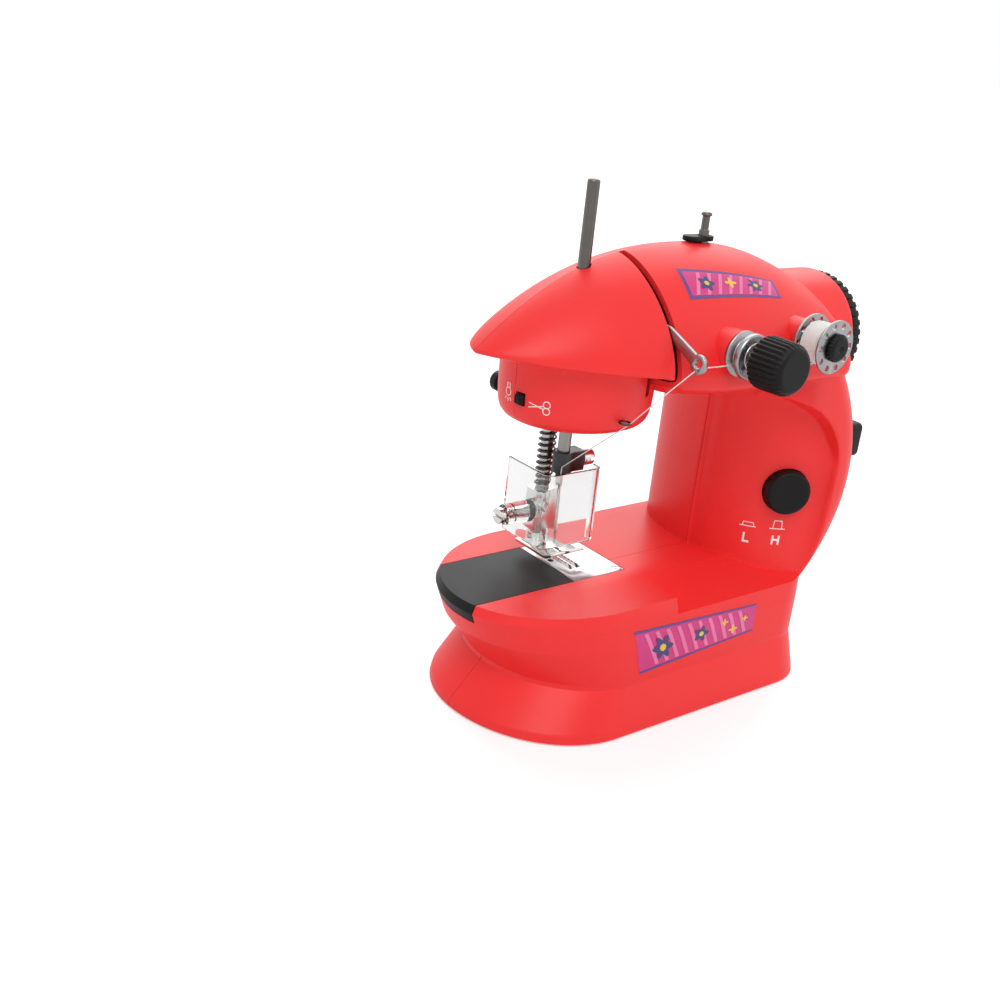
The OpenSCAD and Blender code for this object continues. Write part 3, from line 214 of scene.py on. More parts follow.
class Shaders:
    """Builds one material for each finish from two shared node groups."""

    coarse_scale: float = 0.08
    fine_share: float = 0.45
    detail: float = 3.0
    edge_band: tuple[float, float] = (0.53, 0.66)
    bump_depth: float = 0.0004
    guard_ior: float = 1.32

    def __init__(self) -> None:
        """Makes the shared groups."""
        self.made: dict[str, Material] = {}
        self.grain = self.grain_group()
        self.wear_and_highlight = self.wear_and_highlight_group()

    def grain_group(self) -> Tree:
        """Uneven tone, gloss and height from a fine and a coarse noise.

        Returns:
            The group, with outputs Colour, Roughness and Height.
        """
        tree = bpy.data.node_groups.new("surface_grain", "ShaderNodeTree")
        sockets(tree, "INPUT", "Color", "Colour")
        sockets(tree, "INPUT", "Float", "Tone", "Roughness", "Spread", "Scale")
        sockets(tree, "INPUT", "Vector", "Stretch")
        sockets(tree, "OUTPUT", "Color", "Colour")
        sockets(tree, "OUTPUT", "Float", "Roughness", "Height")
        add, link = tree.nodes.new, tree.links.new
        into, out = add("NodeGroupInput"), add("NodeGroupOutput")
        place, turn = add("ShaderNodeTexCoord"), add("ShaderNodeMapping")
        link(place.outputs["Object"], turn.inputs["Vector"])
        link(into.outputs["Stretch"], turn.inputs["Scale"])
        fine, coarse = add("ShaderNodeTexNoise"), add("ShaderNodeTexNoise")
        slow = calc(tree, "MULTIPLY", into.outputs["Scale"], self.coarse_scale)
        link(into.outputs["Scale"], fine.inputs["Scale"])
        link(slow.outputs[0], coarse.inputs["Scale"])
        for noise in (fine, coarse):
            noise.inputs["Detail"].default_value = self.detail
            link(turn.outputs["Vector"], noise.inputs["Vector"])
        both = add("ShaderNodeMix")
        both.inputs["Factor"].default_value = self.fine_share
        link(coarse.outputs["Fac"], both.inputs["A"])
        link(fine.outputs["Fac"], both.inputs["B"])
        about = calc(tree, "SUBTRACT", both.outputs["Result"], 0.5)
        shade = calc(tree, "MULTIPLY_ADD", about.outputs[0], into.outputs["Tone"], 1.0)
        tint = add("ShaderNodeVectorMath")
        tint.operation = "SCALE"
        link(into.outputs["Colour"], tint.inputs[0])
        link(shade.outputs[0], tint.inputs["Scale"])
        link(tint.outputs[0], out.inputs["Colour"])
        gloss = calc(tree, "MULTIPLY_ADD", about.outputs[0], into.outputs["Spread"],
                     into.outputs["Roughness"])
        link(gloss.outputs[0], out.inputs["Roughness"])
        link(fine.outputs["Fac"], out.inputs["Height"])
        return tree

    def wear_and_highlight_group(self) -> Tree:
        """Lighter colour along proud edges: partly rub wear, partly a painted highlight along the edges.

        Returns:
            The group, with output Colour.
        """
        tree = bpy.data.node_groups.new("edge_wear_and_highlight", "ShaderNodeTree")
        sockets(tree, "INPUT", "Color", "Colour", "Worn")
        sockets(tree, "INPUT", "Float", "Amount")
        sockets(tree, "OUTPUT", "Color", "Colour")
        add, link = tree.nodes.new, tree.links.new
        into, out = add("NodeGroupInput"), add("NodeGroupOutput")
        # Pointiness picks out the proud edges, which are painted lighter: partly rub wear, partly a painted
        # highlight.
        shape, edge = add("ShaderNodeNewGeometry"), add("ShaderNodeMapRange")
        low, high = self.edge_band
        fill(edge, {"From Min": low, "From Max": high})
        link(shape.outputs["Pointiness"], edge.inputs["Value"])
        much = calc(tree, "MULTIPLY", edge.outputs["Result"], into.outputs["Amount"])
        mix = add("ShaderNodeMix")
        mix.data_type = "RGBA"
        link(much.outputs[0], mix.inputs["Factor"])
        # The colour sockets of a mix node are its inputs 6 and 7 and its output 2.
        link(into.outputs["Colour"], mix.inputs[6])
        link(into.outputs["Worn"], mix.inputs[7])
        link(mix.outputs[2], out.inputs["Colour"])
        return tree

    def of(self, look: Look) -> Material:
        """The material of a finish, made on first use.

        Args:
            look: the finish.

        Returns:
            The material.
        """
        finish = look.value
        if finish.name in self.made:
            return self.made[finish.name]
        material = bpy.data.materials.new(finish.name)
        material.use_nodes = True
        nodes, link = material.node_tree.nodes, material.node_tree.links.new
        shader = nodes["Principled BSDF"]
        grain = nodes.new("ShaderNodeGroup")
        grain.node_tree = self.grain
        fill(grain, {"Colour": (*finish.colour, 1.0), "Tone": finish.tone * 2, "Roughness": finish.roughness,
                     "Spread": finish.spread * 2, "Scale": finish.scale, "Stretch": finish.stretch})
        # Lighter proud edges go into the base colour: partly rub wear, partly a painted edge highlight.
        wear_and_highlight = nodes.new("ShaderNodeGroup")
        wear_and_highlight.node_tree = self.wear_and_highlight
        fill(wear_and_highlight, {"Worn": (*finish.worn_and_lit, 1.0), "Amount": finish.wear_and_highlight})
        link(grain.outputs["Colour"], wear_and_highlight.inputs["Colour"])
        link(wear_and_highlight.outputs["Colour"], shader.inputs["Base Color"])
        link(grain.outputs["Roughness"], shader.inputs["Roughness"])
        bump = nodes.new("ShaderNodeBump")
        fill(bump, {"Strength": finish.bump, "Distance": self.bump_depth})
        link(grain.outputs["Height"], bump.inputs["Height"])
        link(bump.outputs["Normal"], shader.inputs["Normal"])
        fill(shader, {"Metallic": finish.metallic, "Specular IOR Level": finish.shine,
                      "Coat Weight": finish.coat, "Transmission Weight": finish.clear})
        if finish.clear:
            shader.inputs["IOR"].default_value = self.guard_ior
        self.made[finish.name] = material
        return material


@dataclass
class Skin:
    """Points in millimetres and the faces that index them."""

    points: Array
    faces: list[list[int]]

    def plus(self, *others: "Skin") -> "Skin":
        """Several skins in one.

        Args:
            others: the skins to add.

        Returns:
            The joined skin.
        """
        points, faces = [self.points], list(self.faces)
        count = len(self.points)
        for other in others:
            faces += [[i + count for i in face] for face in other.faces]
            points.append(other.points)
            count += len(other.points)
        return Skin(np.concatenate(points), faces)


def unit(v: Array) -> Array:
    """Vectors of length one along the last axis."""
    return v / np.maximum(np.linalg.norm(v, axis=-1, keepdims=True), 1e-12)


def grid(points: Array, around: bool = True, along: bool = False, caps: bool = False) -> Skin:
    """Quads over a grid of points: cell (i, j) joins rows i and i+1 between columns j and j+1.

    Args:
        points: rows by columns by three, in millimetres.
        around: whether the last column joins the first.
        along: whether the last row joins the first.
        caps: whether the first and last rows are closed by a face.

    Returns:
        The skin.
    """
    rows, cols = points.shape[:2]
    i = np.arange(rows if along else rows - 1)[:, None]
    j = np.arange(cols if around else cols - 1)[None, :]
    k, m = (i + 1) % rows, (j + 1) % cols
    cells = np.stack(np.broadcast_arrays(i * cols + j, i * cols + m, k * cols + m, k * cols + j), -1)
    faces = cells.reshape(-1, 4).tolist()
    if caps:
        faces += [list(range(cols - 1, -1, -1)), list(range((rows - 1) * cols, rows * cols))]
    return Skin(points.reshape(-1, 3), faces)


def soften(corners: Array, radius: float, steps: int = 5) -> Array:
    """Rounds the inner corners of a line by a parabola from `radius` before each corner to `radius` after it.

    Args:
        corners: points by two or three.
        radius: how far the curve starts from a corner, at most 0.45 of a side.
        steps: points on each curve.

    Returns:
        The rounded line.
    """
    p = np.asarray(corners, float)
    mid = p[1:-1]
    legs = np.stack([p[:-2] - mid, p[2:] - mid])
    a, b = mid + unit(legs) * np.minimum(radius, 0.45 * np.linalg.norm(legs, axis=-1, keepdims=True))
    t = np.linspace(0, 1, steps)[None, :, None]
    curve = (1 - t) ** 2 * a[:, None] + 2 * t * (1 - t) * mid[:, None] + t ** 2 * b[:, None]
    return np.concatenate([p[:1], curve.reshape(-1, p.shape[1]), p[-1:]])


def soft_loop(corners: Array, radius: float, steps: int = 5) -> Array:
    """A closed outline with every corner rounded as `soften` does."""
    p = np.asarray(corners, float)
    return soften(np.concatenate([p[-1:], p, p[:1]]), radius, steps)[1:-1]


def across(axis: Array) -> tuple[Array, Array]:
    """Two unit vectors square to an axis and to each other."""
    d = unit(np.asarray(axis, float))
    u = unit(np.cross(d, Z if abs(d[2]) < 0.9 else X))
    return u, np.cross(d, u)


def lathe(profile: Array, origin: Array, axis: Array, sides: int = 64, ripple: Array | None = None,
          loop: bool = False) -> Skin:
    """Turned surface: origin + a*axis + (r + ripple)*(cos s*u + sin s*v) over the profile (a, r) and angle s.

    Args:
        profile: rows of distance along the axis and radius.
        origin: where the axis starts.
        axis: its direction.
        sides: steps round the axis.
        ripple: rows by sides, added to the radius.
        loop: whether the profile closes on itself, round a bore.

    Returns:
        The skin.
    """
    p = np.asarray(profile, float)
    d, (u, v) = unit(np.asarray(axis, float)), across(axis)
    s = np.linspace(0, 2 * np.pi, sides, endpoint=False)
    r = np.maximum(p[:, 1:2] + (0 if ripple is None else ripple), 0)
    ring = np.cos(s)[:, None] * u + np.sin(s)[:, None] * v
    return grid(np.asarray(origin, float) + p[:, 0, None, None] * d + r[:, :, None] * ring, along=loop)


def tube(path: Array, radius: float, sides: int = 10, up: Array = Z, loop: bool = False) -> Skin:
    """Round wire: path + radius*(cos s*n + sin s*b), with n the part of `up` square to the path.

    Args:
        path: points by three.
        radius: of the wire.
        sides: steps round the wire.
        up: a vector, or one for each point, never along the path.
        loop: whether the path closes.

    Returns:
        The skin.
    """
    p = np.asarray(path, float)
    d = unit(np.roll(p, -1, 0) - np.roll(p, 1, 0)) if loop else unit(np.gradient(p, axis=0))
    ref = np.broadcast_to(np.asarray(up, float), p.shape)
    n = unit(ref - (ref * d).sum(1, keepdims=True) * d)
    b = np.cross(d, n)
    s = np.linspace(0, 2 * np.pi, sides, endpoint=False)[None, :, None]
    ring = np.cos(s) * n[:, None] + np.sin(s) * b[:, None]
    return grid(p[:, None] + radius * ring, along=loop, caps=not loop)


def prism(outline: Array, low: float, high: float, edge: float = 0.3, along: Array = Z) -> Skin:
    """An outline carried along an axis, drawn in by a quarter round of `edge` at both ends.

    Args:
        outline: a closed line of points by two, in the two other axes in the order X, Y, Z.
        low: start along the axis.
        high: end along the axis.
        edge: radius of the rims.
        along: the axis, X, Y or Z.

    Returns:
        The skin.
    """
    p = np.asarray(outline, float)
    side = unit(np.roll(p, -1, 0) - np.roll(p, 1, 0))
    area = np.sum(p[:, 0] * np.roll(p[:, 1], -1) - p[:, 1] * np.roll(p[:, 0], -1))
    out = np.stack([side[:, 1], -side[:, 0]], 1) * np.sign(area)
    a = np.linspace(0, np.pi / 2, 5)
    inset = np.concatenate([edge * (1 - np.sin(a)), edge * (1 - np.sin(a))[::-1]])
    level = np.concatenate([low + edge * (1 - np.cos(a)), high - edge * (1 - np.cos(a))[::-1]])
    ring = p[None] - inset[:, None, None] * out[None]
    deep = np.broadcast_to(level[:, None], ring.shape[:2])
    order = {X: (deep, ring[..., 0], ring[..., 1]), Y: (ring[..., 0], deep, ring[..., 1]),
             Z: (ring[..., 0], ring[..., 1], deep)}[tuple(along)]
    return grid(np.stack(order, -1), caps=True)


def block(low: Array, high: Array) -> Skin:
    """A plain block between two corners."""
    (x0, y0, z0), (x1, y1, z1) = low, high
    ring = [[x0, y0], [x1, y0], [x1, y1], [x0, y1]]
    return prism(ring, z0, z1, 0.0)


def rod(low: Array, high: Array, radius: float, sides: int = 48) -> Skin:
    """A plain rod between two points."""
    a, b = np.asarray(low, float), np.asarray(high, float)
    length = float(np.linalg.norm(b - a))
    return lathe([[0, 0], [0, radius], [length, radius], [length, 0]], a, b - a, sides)


def helix(first: float, last: float, low: float, high: float, turns: float,
          steps: int = 28) -> tuple[Array, Array]:
    """A coil about Z: radius and height run evenly from first to last while the angle makes `turns` turns.

    Args:
        first: radius at the start.
        last: radius at the end.
        low: height at the start.
        high: height at the end.
        turns: number of turns.
        steps: points in each turn.

    Returns:
        The points and the outward direction at each.
    """
    k = np.linspace(0, 1, int(turns * steps) + 1)
    a = 2 * np.pi * turns * k
    out = np.stack([np.cos(a), np.sin(a), 0 * a], 1)
    rise = np.stack([0 * k, 0 * k, low + (high - low) * k], 1)
    return out * (first + (last - first) * k)[:, None] + rise, out


def to_front(p: Array) -> Array:
    """Points or directions turned a quarter about X, so that what stood along Z runs to the front."""
    return np.stack([p[:, 0], -p[:, 2], p[:, 1]], 1)


class Bench:
    """Turns skins into named, dressed pieces that ride on the machine's bodies."""

    def __init__(self, shaders: Shaders) -> None:
        """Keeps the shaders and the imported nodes."""
        self.shaders = shaders
        self.nodes: dict[str, Object] = frame["nodes"]
        self.undressed = set(self.nodes)

    def raw(self, name: str, skin: Skin) -> Object:
        """A closed mesh object in metres, with its faces outward.

        Args:
            name: of the object.
            skin: its shape.

        Returns:
            The linked object.
        """
        mesh = bpy.data.meshes.new(name)
        mesh.from_pydata((skin.points * MM).tolist(), [], skin.faces)
        shape = bmesh.new()
        shape.from_mesh(mesh)
        bmesh.ops.remove_doubles(shape, verts=shape.verts, dist=2e-6)
        bmesh.ops.recalc_face_normals(shape, faces=shape.faces)
        shape.to_mesh(mesh)
        shape.free()
        made = bpy.data.objects.new(name, mesh)
        bpy.context.scene.collection.objects.link(made)
        return made

    def settle(self, obj: Object) -> Object:
        """Puts the result of an object's modifiers into its mesh."""
        bpy.context.view_layer.update()
        view = bpy.context.evaluated_depsgraph_get()
        mesh = bpy.data.meshes.new_from_object(obj.evaluated_get(view))
        obj.modifiers.clear()
        obj.data = mesh
        return obj

    def copy(self, name: str, source: Object) -> Object:
        """A linked object with a mesh copied from another's."""
        made = bpy.data.objects.new(name, source.data.copy())
        bpy.context.scene.collection.objects.link(made)
        return made

    def carve(self, obj: Object, tool: Object, way: Carve = Carve.CUT) -> Object:
        """Changes a closed mesh by another, which is used up.

        Args:
            obj: the mesh that is changed.
            tool: the other mesh.
            way: what the tool does.

        Returns:
            The changed object.
        """
        modifier = obj.modifiers.new("carve", "BOOLEAN")
        modifier.operation, modifier.solver, modifier.object = way.value, "MANIFOLD", tool
        self.settle(obj)
        bpy.data.objects.remove(tool)
        return obj

    def cut(self, obj: Object, *skins: Skin) -> Object:
        """Cuts each skin out of an object."""
        for skin in skins:
            self.carve(obj, self.raw("cutter", skin))
        return obj

    def join(self, obj: Object, *tools: Object) -> Object:
        """Joins each closed mesh onto an object."""
        for tool in tools:
            self.carve(obj, tool, Carve.JOIN)
        return obj

    def keep(self, obj: Object, skin: Skin) -> Object:
        """Keeps what of an object lies within a skin."""
        return self.carve(obj, self.raw("keep", skin), Carve.KEEP)

    def finish(self, obj: Object, look: Look, body: str, replaces: tuple[str, ...] = (),
               sharp: float = SHARP) -> Object:
        """Dresses a made object, sets its shading and fixes it to a body.

        Args:
            obj: the object.
            look: its finish.
            body: the body that it rides on.
            replaces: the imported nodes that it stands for.
            sharp: edges past this angle stay sharp, in degrees.

        Returns:
            The same object.
        """
        obj.data.materials.clear()
        obj.data.materials.append(self.shaders.of(look))
        obj.data.shade_smooth()
        obj.data.set_sharp_from_angle(angle=math.radians(sharp))
        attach(obj, body)
        if replaces:
            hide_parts(*replaces)
        for node in replaces:
            self.dress(node, look)
        LOG.info("%s: %d faces on %s", obj.name, len(obj.data.polygons), body)
        return obj

    def piece(self, name: str, skin: Skin, look: Look, body: str, replaces: tuple[str, ...] = (),
              sharp: float = SHARP) -> Object:
        """A dressed piece from a skin; see `raw` and `finish`."""
        return self.finish(self.raw(name, skin), look, body, replaces, sharp)

    def dress(self, node: str, look: Look) -> None:
        """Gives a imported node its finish."""
        slots = self.nodes[node].data.materials
        slots.clear()
        slots.append(self.shaders.of(look))
        self.undressed.discard(node)

    def eased(self, node: str, look: Look, width: float = 0.25) -> Object:
        """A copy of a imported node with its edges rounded.

        Args:
            node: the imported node, which the copy stands for.
            look: the copy's finish.
            width: of the rounding, in millimetres.

        Returns:
            The copy.
        """
        source = self.nodes[node]
        copy = self.copy(node + "_eased", source)
        shape = bmesh.new()
        shape.from_mesh(copy.data)
        bmesh.ops.remove_doubles(shape, verts=shape.verts, dist=1e-6)
        bmesh.ops.dissolve_limit(shape, angle_limit=math.radians(0.5), verts=shape.verts, edges=shape.edges)
        shape.to_mesh(copy.data)
        shape.free()
        bevel = copy.modifiers.new("eased_edges", "BEVEL")
        bevel.width, bevel.segments, bevel.limit_method = width * MM, 2, "ANGLE"
        bevel.angle_limit = math.radians(40)
        self.settle(copy)
        return self.finish(copy, look, body_of(source)[0], (node,))


@dataclass
class Housing:
    """The red moulded housing in two halves, and the slide cover cut from the same bed."""

    bench: Bench
    wall: float = 2.2
    bed_z: float = 48.4
    floor_y: float = -17.0
    floor_tip: float = 14.5
    floor_ends: tuple[float, float] = (-5.5, 84.5)
    nose_x: float = 37.5
    rim_z: float = 136.0
    tip_x: float = -83.5
    tip_z: float = 143.0
    crown: tuple[float, float] = (10.0, 177.5)
    crown_fall: float = 100.6
    arm_half: float = 43.0
    arm_widening: float = 110.0
    arm_end: float = 66.0
    head_at: tuple[float, float] = (-34.5, 1.5)
    head_half: tuple[float, float] = (30.5, 28.0)
    head_low: float = 113.5
    column_right: float = 90.0
    column_front: float = 43.5
    screws: tuple[tuple[float, float], ...] = (
        (-57, 30), (14, 38), (78, 60), (76, 118), (28, 154), (-48, 145))
    parting: float = 0.11
    voxel: float = 0.8
    face: BVHTree | None = None

    def base(self, t: float, foot: float) -> Skin:
        """Base: an oval left end and two round corners at each height, through seven levels.

        Args:
            t: distance inside the outer face.
            foot: height of its lowest level.

        Returns:
            The skin.
        """
        lip = min(45.0, self.bed_z - t - 0.5)
        # In each row: height, left end, right end, front, back, half the oval's length, corner radius.
        levels = np.array([
            [foot, -81.5, 77, 49.5, 44, 44, 24], [3.8, -80.9, 77, 48.6, 43.6, 44, 24],
            [18, -68, 75, 43.5, 42, 40, 20], [20, -68, 75, 43.6, 42.1, 40, 20],
            [34, -79, 76.5, 42.6, 43.5, 48, 20], [lip, -83.5, 78, 40.2, 44, 50.5, 18],
            [self.bed_z - t, -82.3, 77, 38.8, 42.6, 50.5, 18]])
        z = np.unique(np.concatenate([np.linspace(levels[0, 0], self.bed_z - t, 40), levels[:, 0]]))
        left, right, front, back, oval, corner = (
            np.interp(z, levels[:, 0], level)[:, None] for level in levels[:, 1:].T)
        a = np.radians(np.linspace(270, 90, 73))[None]
        b = np.radians(np.linspace(90, 0, 19))[None]
        c = np.radians(np.linspace(0, -90, 19))[None]
        x = np.concatenate([left + oval + (oval - t) * np.cos(a), right - corner + (corner - t) * np.cos(b),
                            right - corner + (corner - t) * np.cos(c)], 1)
        y = np.concatenate([(np.where(np.sin(a) < 0, front, back) - t) * np.sin(a),
                            back - corner + (corner - t) * np.sin(b),
                            corner - front + (corner - t) * np.sin(c)], 1)
        return grid(np.stack([x, y, np.broadcast_to(z[:, None], x.shape)], -1), caps=True)

    def floor_wedge(self, t: float) -> Skin:
        """The sunk floor's cutter: a slab tipped down to the front."""
        tip = math.radians(self.floor_tip)
        y, z = np.array([-50, 0, 0, -50.0]), np.array([0, 0, 20, 20.0])
        ring = np.stack([self.floor_y + y * np.cos(tip) - z * np.sin(tip),
                         self.bed_z - t + y * np.sin(tip) + z * np.cos(tip)], 1)
        left, right = self.floor_ends
        return prism(ring, left - t, right - t, 0.0, X)

    def ridge(self, x: Array) -> Array:
        """Height of the arm's top line."""
        at, high = self.crown
        left = high - (high - self.tip_z) * (np.maximum(at - x, 0) / (at - self.tip_x)) ** 2.4
        return np.where(x < at, left, high - (high - self.rim_z) * ((x - at) / self.crown_fall) ** 2)

    def arm(self, t: float) -> Skin:
        """Arm and visor: at each x a round crown over the widest line and a flat belly under it."""
        end, round_power, flat_power = self.arm_end, 1.25, 0.6
        x = np.concatenate([self.tip_x + 0.2 + t + 20 * np.linspace(0, 1, 24) ** 2,
                            np.linspace(self.tip_x + 21.5 + t, end, 84),
                            end + 9.5 * np.sin(np.linspace(0.15, 1, 8) * np.pi / 2)])[:, None]
        k = np.sqrt(np.clip(1 - (np.maximum(x - end, 0) / 12.5) ** 2, 0, 1))
        a = np.linspace(0, 2 * np.pi, 120, endpoint=False)[None]
        c, s = np.cos(a), np.sin(a)
        half = self.arm_half * (1 - (1 - np.minimum(1, (x - self.tip_x) / self.arm_widening)) ** 2) ** 0.58
        rim = self.rim_z + (self.tip_z - self.rim_z) * (np.maximum(-x, 0) / -self.tip_x) ** 1.2
        belly = np.interp(x, [-24, -19], [1.5, 9])
        power = np.where(s > 0, round_power, flat_power)
        y = np.maximum(k * (half - t), 0.1) * np.sign(c) * np.abs(c) ** power
        up = np.maximum(k * (self.ridge(x) - rim) - t, 0.2) * np.abs(s) ** round_power
        down = np.maximum(0.1, belly - t) * np.abs(s) ** flat_power
        z = rim + np.where(s > 0, up, -down)
        return grid(np.stack([np.broadcast_to(x, y.shape), y, z], -1), caps=True)

    def head(self, t: float) -> Skin:
        """Needle head: an upright oval with a rounded lower rim."""
        rise, low = np.array([[0, 0.4, 1.2, 2.6, 4.5, 7.0], [6.0, 4.4, 2.9, 1.7, 1.0, 0.6]])
        z = np.concatenate([self.head_low + t + rise, np.linspace(124, 142, 8)])
        inset = np.concatenate([low, np.linspace(0.4, 0, 8)])[:, None]
        a = np.linspace(0, 2 * np.pi, 120, endpoint=False)[None]
        (at_x, at_y), (half_x, half_y) = self.head_at, self.head_half
        x = at_x + (half_x - inset - t) * np.cos(a)
        y = at_y + (half_y - inset - t) * np.sin(a)
        return grid(np.stack([x, y, np.broadcast_to(z[:, None], x.shape)], -1), caps=True)

    def drum(self, t: float) -> Skin:
        """Wheel's drum: turned round the shaft, with an eased right rim."""
        line = np.array([[44, 0], [44, 26.5], [88, 26.5], [89, 26.1], [89.5, 25], [89.5, 0]])
        inward = np.array([[1, 0], [1, -1], [-1, -1], [-1, -1], [-1, -1], [-1, 0]])
        return lathe(line + t * inward, (0, 0, Places.shaft_z), X, 120)

    def bosses(self) -> list[Skin]:
        """The bosses behind the tension discs and the winder."""
        (stud_x, _, stud_z), (winder_x, _, winder_z) = Places.tension, Places.winder
        return [rod((stud_x, -31.1, stud_z), (stud_x, -42.1, stud_z), 8),
                rod((winder_x, -27.5, winder_z), (winder_x, -41.1, winder_z), 7)]

    def column(self, t: float) -> Skin:
        """Column: four round corners at each height, with its right side and front bowed out."""
        z = np.linspace(40, 134, 60)[:, None]
        right = self.column_right - (z - 86) ** 2 / 155
        front = self.column_front - (z - 92) ** 2 / 600
        q = np.radians(np.linspace(0, 90, 15))[None]
        nose = self.nose_x + 16
        # For each corner: its middle in x and y, its radii in x and y, and its angles.
        corners = [(nose + 7, 2, 23, 40, np.pi - q), (right - 18, 24, 18, 18, np.pi / 2 - q),
                   (right - 14, 14 - front, 14, 14, -q), (nose, 16 - front, 16, 16, -np.pi / 2 - q)]
        x = np.concatenate([cx + (rx - t) * np.cos(a) + 0 * z for cx, _, rx, _, a in corners], 1)
        y = np.concatenate([cy + (ry - t) * np.sin(a) + 0 * z for _, cy, _, ry, a in corners], 1)
        return grid(np.stack([x, y, np.broadcast_to(z, x.shape)], -1), caps=True)

    def panel(self, t: float) -> tuple[Skin, Skin]:
        """The sunk front panel: a bowed plan carried up, and the arched side view that bounds it.

        Args:
            t: how far the panel's wall stands behind its face.

        Returns:
            The plan's solid and the side view's solid.
        """
        bow = soften([[38.9 + t, 0], [39.2 + t, -7.2 + .3 * t], [42.7 + t, -15.5 + .6 * t],
                      [48.3 + .7 * t, -24.7 + t], [58.3 + .5 * t, -32.5 + t], [72 + .3 * t, -37.8 + t],
                      [74 + t, -60]], 4.5, 6)
        plan = np.concatenate([[[-5.5, -60], [-5.5, 0]], bow])
        a = np.linspace(0, np.pi / 2, 40)
        arch = np.stack([30.6 + (42 + t) * np.cos(a), 91 + (33 + t) * np.sin(a)], 1)
        side = np.concatenate([[[-6, 30], [72.6 + t, 30]], arch, [[-6, 124 + t]]])
        return prism(plan, 20, 160, 0.0), prism(side, -70, 20, 0.0, Y)

    def solid(self, t: float, name: str, voxel: float, smooth: int) -> Object:
        """One drawn-in form of the whole housing: soft creases from a remesh, crisp bed, arm and head.

        Args:
            t: distance inside the outer face.
            name: of the object.
            voxel: size of the remesh, in millimetres.
            smooth: passes of smoothing.

        Returns:
            The closed mesh.
        """
        bench = self.bench
        bed_sink, arm_sink = 1.2, 0.5
        foot = -1.0 if t else 0.8
        column = bench.raw(name, self.column(t))
        base = bench.raw("base", self.base(t + bed_sink, foot + 0.6))
        plan, side = (bench.raw("panel", skin) for skin in self.panel(t))
        bench.carve(column, bench.carve(plan, side, Carve.KEEP))
        bench.cut(base, self.floor_wedge(t + bed_sink))
        soft = [self.arm(t + arm_sink), self.head(t + arm_sink), self.drum(t)]
        bench.join(column, base, *[bench.raw("part", skin) for skin in soft])
        mesh = column.modifiers.new("even", "REMESH")
        mesh.mode, mesh.voxel_size = "VOXEL", voxel * MM
        ease = column.modifiers.new("ease", "SMOOTH")
        ease.factor, ease.iterations = 0.5, smooth
        bench.settle(column)
        crisp = [self.arm(t), self.head(t)] + ([] if t else self.bosses())
        bed = bench.cut(bench.raw("base", self.base(t, foot)), self.floor_wedge(t))
        return bench.join(column, bed, *[bench.raw("part", skin) for skin in crisp])

    def openings(self) -> dict[str, Skin]:
        """Every hole and slot in the housing, under the name of what goes there."""
        long_x, short_x, shaft_z = Places.long_pin_x, Places.short_pin_x, Places.shaft_z
        (stud_x, _, stud_z), (winder_x, _, winder_z) = Places.tension, Places.winder
        button, out = np.array(Places.button), np.array(Places.button_out)
        return {
            "long_pin": rod((long_x, 0, 140), (long_x, 0, 190), 2.7),
            "short_pin": rod((short_x, 0, 150), (short_x, 0, 190), 2.4),
            "lamp": rod((*Places.lamp, 104), (*Places.lamp, 124), 3.45),
            "main_shaft": rod((84, 0, shaft_z), (92, 0, shaft_z), 8),
            "needle_plate": block((-33.4, -10.1, 47.2), (-6.6, 25.4, 60)),
            "shuttle_hook": block((-33, -5.7, 40), (-11, 21, 60)),
            "slide_cover": block((-120, -10.1, 41), (-32, 25.4, 60)),
            "take_up_lever": block((-23.7, -80, 126.8), (-20.9, 0.1, 190)),
            "tension_stud": rod((stud_x, -50, stud_z), (stud_x, -20, stud_z), 2.05),
            "winder_spindle": rod((winder_x, -50, winder_z), (winder_x, -20, winder_z), 2.55),
            "speed_button": rod(button - 14 * out, button + 14 * out, 9.8),
            "side_switch": block((78, -39.8, 93), (110, -29, 109)),
            "light_switch": block((-90, -5.2, 121.6), (-57, -0.8, 126.4)),
            "both_bars": block((-35, 4.7, 105), (-24, 25, 120)),
            "presser_lifter": rod((-41, 18, 124.5), (-41, 40, 124.5), 2.25),
        }

    def make(self) -> None:
        """Builds the two halves and the slide cover."""
        bench = self.bench
        outer = self.solid(0.0, "outer", self.voxel, 5)
        inner = self.solid(self.wall, "inner", 2.0, 4)
        bench.cut(inner, *[rod((x, 0.5, z), (x, 70, z), 4.2) for x, z in self.screws])
        self.face = BVHTree.FromObject(outer, bpy.context.evaluated_depsgraph_get())
        shell = bench.carve(outer, inner)
        cover = bench.keep(bench.copy("slide_cover", shell), block((-120, -9.7, 41.4), (-33.4, 25, 60)))
        bench.cut(shell, *self.openings().values())
        bench.cut(shell, *[rod((x, 8, z), (x, 70, z), 3.2) for x, z in self.screws])
        front = bench.copy("front_half", shell)
        bench.keep(front, block((-150, -150, -50), (150, -self.parting, 250)))
        shell.name = "rear_half"
        bench.keep(shell, block((-150, self.parting, -50), (150, 150, 250)))
        bench.finish(front, Look.RED, "housing", ("front_shell",), 32)
        bench.finish(shell, Look.RED, "housing", ("rear_shell",), 32)
        bench.finish(cover, Look.BLACK, "cover_body", ("bobbin_cover",), 32)

    def drop(self, points: Array, way: Array, lift: float) -> Array:
        """Lays points on the housing: each is carried along `way` to the skin, then raised off it.

        Args:
            points: by three, in millimetres, outside the skin.
            way: direction towards the skin.
            lift: height above the skin, in millimetres.

        Returns:
            The points on the skin.
        """
        d = Vector(unit(np.asarray(way, float)))
        ahead = 20 * MM
        hits = [self.face.ray_cast(Vector(p * MM) - d * ahead, d)[:2] for p in points]
        return np.array([np.array(at + out * lift * MM) / MM if at else p
                         for (at, out), p in zip(hits, points)])


